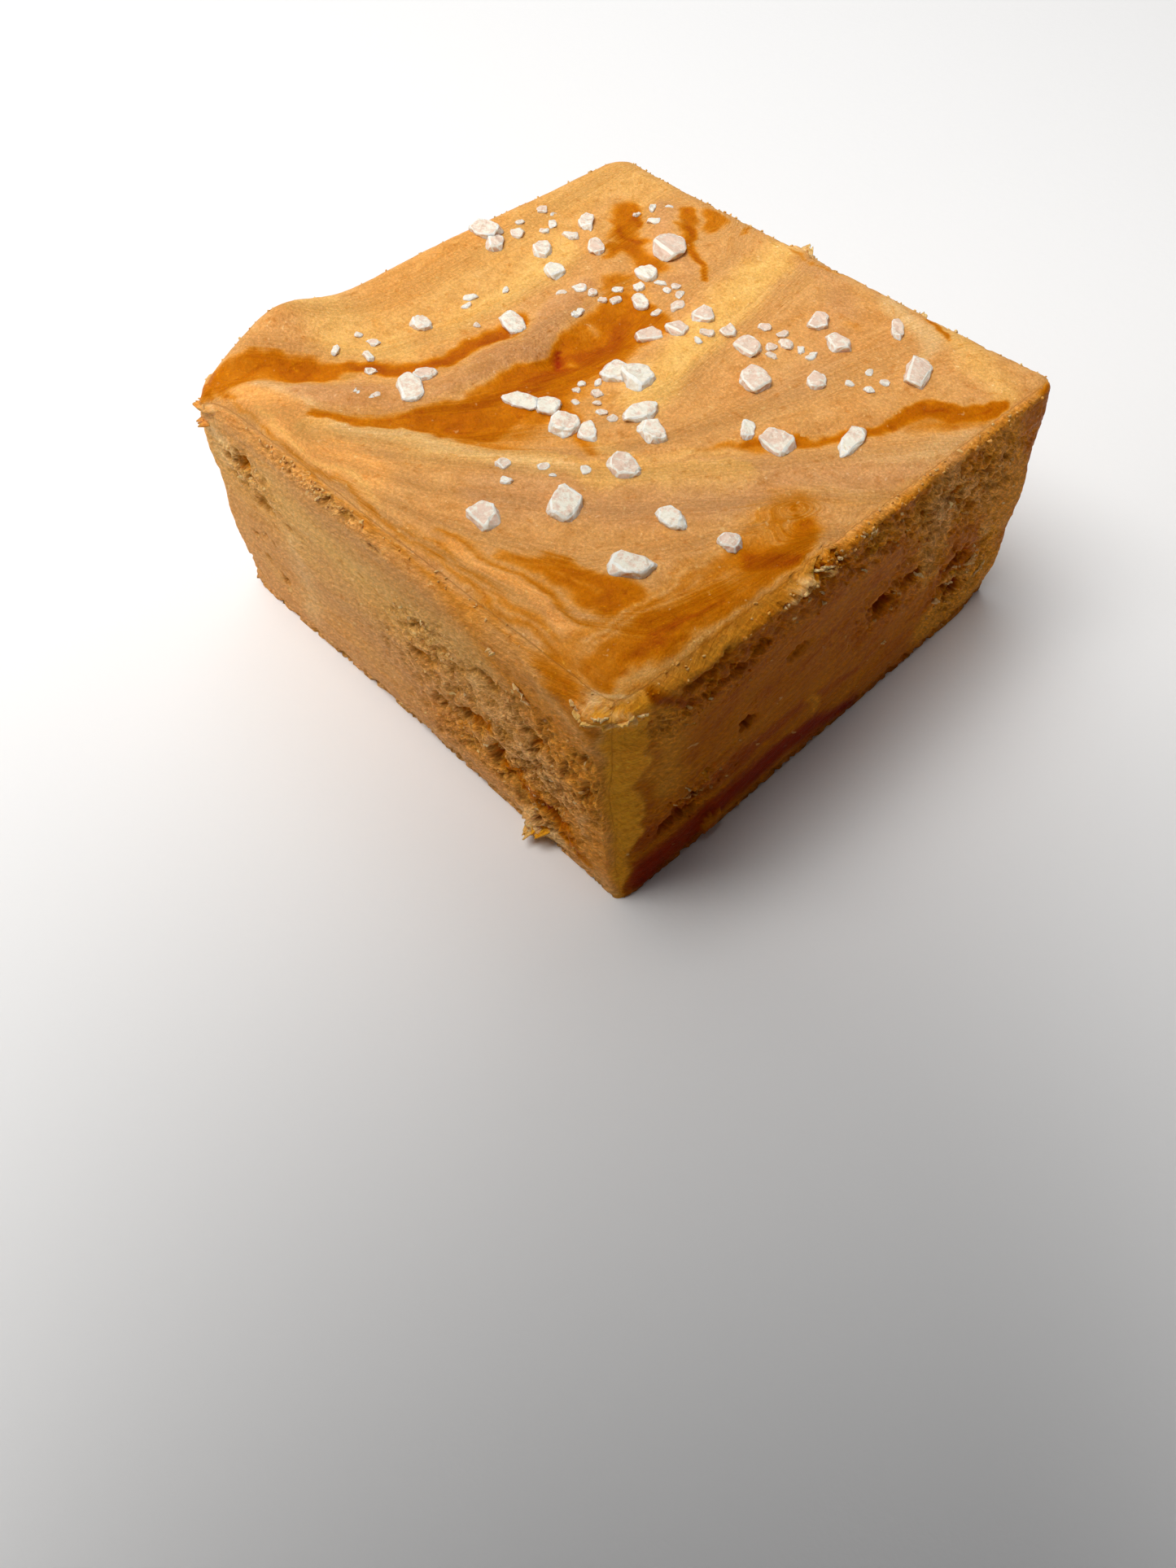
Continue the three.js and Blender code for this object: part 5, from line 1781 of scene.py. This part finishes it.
@dataclass
class Scraps:
    """Crumbs in the torn places and along the edges, and thin flakes that hang from them.

    Attributes:
        form: The form that they stick to.
        seed: Starts the run of numbers that scatters them.
        crumbs_in_zone: Crumbs for one whole crumbly place.
        crumb_spread: How far they scatter, as a share of that place's size.
        crumb_patch: Where crumbs may stick.
        crumb_size: Shortest and longest crumb.
        crumb_shrink: Range of a further share of that size.
        crumb_uneven: Least and greatest reach of a crumb's points, as a share of its radius.
        crumb_shape: Least and greatest stretch of a crumb, along each of its axes.
        crumb_out: How far its middle stands out, as a share of its size.
        crumb_pale: How much paler than the skin it may be.
        crumb_glaze: How much of the skin's caramel it keeps.
        crumb_grit: How torn it looks, from 0 to 1.
        edge_crumbs: Crumbs along each top edge, by side.
        edge_patch: Where they stick.
        edge_crumb_size: Shortest and longest of them.
        shreds_in_zone: Small flakes for one whole crumbly place.
        shred_spread: How far they scatter, as a share of that place's size.
        shred_patch: Where they may hang.
        shred_size: Shortest and longest of them.
        shred_reach: How far the least and the most of them stand out.
        shred_lift: How far they bend down or up.
        shred_turn: How far they may be turned from the way the knife tore, in degrees.
        shred_tones: Their colours.
        flakes: The larger flakes, each placed one by one.
        flake_thickness: How thick a flake is.
        flake_taper: How much narrower its free edge is.
        flake_torn: Least and greatest reach of that edge, as a share of the flake's.
        flake_stray: How far its points stray along it and out of its plane.
        flake_root: How deep it is rooted.
        flake_grit: How torn it looks, from 0 to 1.
    """

    form: FudgeForm
    seed: int = 517
    crumbs_in_zone: int = 34
    crumb_spread: float = 1.4
    crumb_patch: Patch = Patch(19.0, 0.4, 18.2)
    crumb_size: Place = (0.12, 0.42)
    crumb_shrink: Place = (0.6, 1.0)
    crumb_uneven: Place = (0.65, 1.25)
    crumb_shape: tuple[Place, ...] = ((0.7, 1.3), (0.5, 1.0), (0.5, 0.9))
    crumb_out: float = 0.12
    crumb_pale: Place = (0.1, 0.7)
    crumb_glaze: float = 0.8
    crumb_grit: float = 0.3
    edge_patch: Patch = Patch(19.0, 17.8, 18.55)
    edge_crumb_size: Place = (0.1, 0.3)
    shreds_in_zone: int = 22
    shred_spread: float = 1.2
    shred_patch: Patch = Patch(18.6, 0.6, 18.0)
    shred_size: Place = (0.35, 1.3)
    shred_reach: Place = (0.12, 0.34)
    shred_lift: Place = (-0.1, 0.2)
    shred_turn: float = 22.0
    shred_tones: tuple[Tone, ...] = (Tone.PALE, Tone.CREAM, Tone.TAN)
    edge_crumbs: tuple[tuple[CutSide, int], ...] = (
        (CutSide.PLUS_X, 90),
        (CutSide.MINUS_Y, 40),
        (CutSide.MINUS_X, 40),
        (CutSide.PLUS_Y, 50),
    )
    flakes: tuple[Flake, ...] = FLAKES
    flake_thickness: float = 0.1
    flake_taper: float = 0.55
    flake_torn: Place = (0.55, 1.25)
    flake_stray: Place = (0.08, 0.12)
    flake_root: float = 0.25
    flake_grit: float = 0.1

    def add_crumb(self, bm: Mesh, spot: Spot, size: float, draw: Draws) -> list[Vert]:
        """Adds one uneven crumb of a given length at a spot, and returns its vertices."""
        made = bmesh.ops.create_icosphere(bm, subdivisions=1, radius=size / 2.0)
        for vert in made["verts"]:
            vert.co *= draw.between(*self.crumb_uneven)
        stretch = Vector([draw.between(*stretched) for stretched in self.crumb_shape])
        spin = Matrix.Rotation(2.0 * math.pi * draw(), 4, "Z") @ Matrix.Rotation(math.pi * draw(), 4, "X")
        place = Matrix.Translation(spot.place + spot.out * (self.crumb_out * size))
        bmesh.ops.scale(bm, vec=stretch, verts=made["verts"])
        bmesh.ops.transform(bm, matrix=place @ spin, verts=made["verts"])
        return made["verts"]

    def add_flake(self, bm: Mesh, flake: Flake, draw: Draws) -> list[Vert]:
        """Adds one flake, a small sheet with a torn free edge, bent and thick, and returns its vertices."""
        spot = self.form.on_side(flake.side, flake.along, flake.up)
        made = bmesh.ops.create_grid(bm, x_segments=7, y_segments=3, size=0.5)
        for vert in made["verts"]:
            out = vert.co.y + 0.5
            taper = 1.0 - self.flake_taper * out * out
            torn = out * draw.between(*self.flake_torn)
            x = vert.co.x * flake.length * taper + self.flake_stray[0] * (draw() - 0.5)
            bulge = self.flake_stray[1] * (draw() - 0.5)
            vert.co = Vector((x, torn * flake.reach - self.flake_root, flake.lift * out * out + bulge))
        faces = list({f for v in made["verts"] for f in v.link_faces})
        thick = bmesh.ops.solidify(bm, geom=faces, thickness=self.flake_thickness)
        verts = list({v for f in thick["geom"] if isinstance(f, bmesh.types.BMFace) for v in f.verts}
                     | set(made["verts"]))
        along = Vector((0, 0, 1)).cross(spot.out).normalized()
        rise = spot.out.cross(along)
        frame_in = Matrix((along, spot.out, rise)).transposed().to_4x4()
        turn = Matrix.Rotation(math.radians(flake.turn), 4, "Y")
        bmesh.ops.transform(bm, matrix=Matrix.Translation(spot.place) @ frame_in @ turn, verts=verts)
        return verts

    def scattered(self, in_zone: int, spread: float, draw: Draws) -> Iterator[tuple[CutFace, float, float]]:
        """Yields places scattered over the crumbly places: the side, and the place along and up it.

        Args:
            in_zone: How many there are for one whole crumbly place.
            spread: How far they scatter, as a share of its size.
            draw: The run of numbers that scatters them.
        """
        for face in self.form.faces.values():
            for zone in face.rough:
                for _ in range(round(in_zone * zone.height)):
                    along = zone.u + spread * zone.long * (draw() + draw() - 1.0)
                    up = zone.v + spread * zone.wide * (draw() + draw() - 1.0)
                    yield face, along, up

    def crumbs(self, draw: Draws) -> Iterator[tuple[Spot, float]]:
        """Yields every crumb's spot and size: in the crumbly places, then along the top edges."""
        for face, along, up in self.scattered(self.crumbs_in_zone, self.crumb_spread, draw):
            size = draw.between(*self.crumb_size) * draw.between(*self.crumb_shrink)
            if self.crumb_patch.holds(along, up):
                yield self.form.on_side(face.side, along, up), size
        for side, count in self.edge_crumbs:
            for _ in range(count):
                along = self.edge_patch.half_long * (2.0 * draw() - 1.0)
                up = draw.between(self.edge_patch.low, self.edge_patch.high)
                yield self.form.on_side(side, along, up), draw.between(*self.edge_crumb_size)

    def shreds(self, draw: Draws) -> Iterator[Flake]:
        """Yields the small flakes of the crumbly places, which lie the way the knife tore."""
        for face, along, up in self.scattered(self.shreds_in_zone, self.shred_spread, draw):
            length = blend(*self.shred_size, draw() ** 2)
            reach = draw.between(*self.shred_reach)
            lift = draw.between(*self.shred_lift)
            turn = draw.between(-self.shred_turn, self.shred_turn) - face.tear_turn
            tone = self.shred_tones[int(len(self.shred_tones) * draw())]
            if self.shred_patch.holds(along, up):
                yield Flake(face.side, along, up, length, reach, lift, turn, tone)

    def build(self) -> bpy.types.Object:
        """Builds and dresses the crumbs and flakes and returns them."""
        draw = Draws(self.seed)
        bm = bmesh.new()
        layers = SkinLayers(bm)
        for spot, size in self.crumbs(draw):
            colour = tinted(spot.skin.tint, Tone.PALE, draw.between(*self.crumb_pale))
            caramel = self.crumb_glaze * spot.skin.caramel
            for vert in self.add_crumb(bm, spot, size, draw):
                layers.note(vert, Skin(colour, caramel, vert.co, self.crumb_grit, vert.co))
        for flake in (*self.flakes, *self.shreds(draw)):
            for vert in self.add_flake(bm, flake, draw):
                layers.note(vert, Skin(flake.tone.value, 0.0, vert.co, self.flake_grit, vert.co))
        bmesh.ops.recalc_face_normals(bm, faces=bm.faces)
        finish = FudgeFinish("crumbly fudge").material()
        obj = finished_object("crumbs_and_flakes", bm, [finish], smooth=False)
        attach(obj, "root")
        return obj


@dataclass(frozen=True)
class Lamp:
    """A square soft light that looks at the fudge.

    Attributes:
        name: The light's name.
        bearing: Which way it hangs from the fudge, in degrees from +X.
        height: How high it hangs, in degrees above the sheet.
        size: Its side, in mm.
        watts: Its power.
        colour: Its colour.
        distance: How far away it hangs, in mm.
    """

    name: str
    bearing: float
    height: float
    size: float
    watts: float
    colour: Rgb
    distance: float = 500.0

    def hang(self) -> None:
        """Adds the light to the scene."""
        data = bpy.data.lights.new(self.name, "AREA")
        data.size = self.size * MM
        data.energy = self.watts
        data.color = self.colour
        obj = bpy.data.objects.new(self.name, data)
        bearing = math.radians(self.bearing)
        height = math.radians(self.height)
        level = math.cos(height)
        towards = Vector((level * math.cos(bearing), level * math.sin(bearing), math.sin(height)))
        obj.location = towards * self.distance * MM
        obj.rotation_euler = towards.to_track_quat("Z", "Y").to_euler()
        bpy.context.scene.collection.objects.link(obj)


@dataclass
class Studio:
    """A pale sheet, soft light from the left and behind, the camera, and the shade it throws.

    Attributes:
        image_height: Height of the picture that the camera matches, in its own pixels.
        focal: Focal length in those pixels.
        azimuth: Which way the camera stands, in degrees.
        elevation: How far it looks down.
        roll: How far it is rolled.
        target: The place on the sheet at the middle of the picture, in mm.
        distance: How far from that place the camera stands.
        case_right: From where to where the camera's case reaches to the right of its lens, in mm.
        case_down: From where to where it reaches below the lens.
        case_gap: How far behind the lens it hangs.
        case_colour: Its colour.
        sheet: The sheet's colour.
        sheet_half: Half of the sheet's side, in mm.
        sheet_grain: The sheet's fine unevenness.
        lamps: The light of the two windows.
        room: The colour of the dim room.
        room_strength: How bright the room is.
    """

    image_height: float = 1927.0
    focal: float = 1484.0
    azimuth: float = 46.84
    elevation: float = 54.92
    roll: float = -0.85
    target: Place = (12.15, -14.60)
    distance: float = 82.4
    case_right: Place = (-60.0, 20.0)
    case_down: Place = (-40.0, 130.0)
    case_gap: float = 3.0
    case_colour: Rgb = (0.02, 0.02, 0.02)
    sheet: Rgb = (0.86, 0.855, 0.85)
    sheet_half: float = 700.0
    sheet_grain: Pattern = Pattern(1400.0, 4.0, 0.6)
    lamps: tuple[Lamp, ...] = (
        Lamp("window", 247.0, 67.0, 367.0, 2.75, (1.0, 0.99, 0.975)),
        Lamp("far window", 155.0, 52.0, 530.0, 1.1, (0.98, 0.99, 1.0)),
    )
    room: Rgb = (0.95, 0.96, 1.0)
    room_strength: float = 0.07

    def stand(self) -> Matrix:
        """Returns the camera's place and turn: its own axes are right, up and back."""
        azimuth = math.radians(self.azimuth)
        elevation = math.radians(self.elevation)
        back = Vector((
            math.sin(azimuth) * math.cos(elevation),
            -math.cos(azimuth) * math.cos(elevation),
            math.sin(elevation),
        ))
        right = Vector((math.cos(azimuth), math.sin(azimuth), 0.0))
        level = Matrix((right, back.cross(right), back)).transposed().to_4x4()
        place = Vector((*self.target, 0.0)) + self.distance * back
        return Matrix.Translation(place) @ level @ Matrix.Rotation(math.radians(self.roll), 4, "Z")

    def camera(self) -> None:
        """Builds the camera and makes it the scene's."""
        data = bpy.data.cameras.new("camera")
        data.sensor_fit = "VERTICAL"
        data.sensor_height = 36.0
        data.lens = self.focal / self.image_height * data.sensor_height
        data.clip_start = MM
        data.clip_end = 10.0
        obj = bpy.data.objects.new("camera", data)
        stand = self.stand()
        stand.translation *= MM
        obj.matrix_world = stand
        bpy.context.scene.collection.objects.link(obj)
        bpy.context.scene.camera = obj

    def case(self) -> None:
        """Hangs a dark sheet, the camera's case, behind the lens, where it shades the front."""
        size = Vector((self.case_right[1] - self.case_right[0], self.case_down[1] - self.case_down[0], 1.0))
        middle = Vector((sum(self.case_right) / 2.0, -sum(self.case_down) / 2.0, self.case_gap))
        bm = bmesh.new()
        bmesh.ops.create_grid(bm, x_segments=1, y_segments=1, size=0.5)
        bmesh.ops.scale(bm, vec=size, verts=bm.verts)
        bmesh.ops.transform(bm, matrix=self.stand() @ Matrix.Translation(middle), verts=bm.verts)
        bench = NodeBench("dark case")
        bench.set(Base_Color=(*self.case_colour, 1.0), Roughness=0.8)
        obj = finished_object("camera_case", bm, [bench.material], smooth=False)
        obj.visible_camera = False
        obj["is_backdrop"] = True

    def floor(self) -> None:
        """Builds the pale sheet that the fudge stands on."""
        bm = bmesh.new()
        bmesh.ops.create_grid(bm, x_segments=1, y_segments=1, size=self.sheet_half)
        bench = NodeBench("pale paper")
        bench.set(Base_Color=(*self.sheet, 1.0), Roughness=0.7)
        place = bench.add("TexCoord").outputs["Object"]
        bench.bump(bench.noise(place, self.sheet_grain), strength=0.35, distance=0.05)
        obj = finished_object("floor", bm, [bench.material], smooth=False)
        obj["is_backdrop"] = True

    def dim_room(self) -> None:
        """Sets the dim room round the sheet."""
        world = bpy.data.worlds.new("dim room")
        world.use_nodes = True
        background = world.node_tree.nodes["Background"]
        background.inputs["Color"].default_value = (*self.room, 1.0)
        background.inputs["Strength"].default_value = self.room_strength
        bpy.context.scene.world = world

    def build(self) -> None:
        """Sets up the sheet, the lights, the camera and plain colours."""
        self.floor()
        for lamp in self.lamps:
            lamp.hang()
        self.dim_room()
        self.camera()
        self.case()
        bpy.context.scene.view_settings.view_transform = "Standard"
        LOG.info("studio: %d lamps", len(self.lamps))


def write_sizes() -> None:
    """Works out the bounds of the solids and of the dressed scene as plain lists."""
    bounds = {"solids": BOUNDS_OF_SOLIDS, "dressed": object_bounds()}
    plain = {name: [list(corner) for corner in pair] for name, pair in bounds.items()}


def main() -> None:
    """Builds every piece in order."""
    logging.basicConfig(level=logging.INFO)
    form = FudgeForm()
    Studio().build()
    FudgeBlock(form).build()
    SaltTopping(form).build()
    Scraps(form).build()
    write_sizes()


if __name__ == "__main__":
    main()
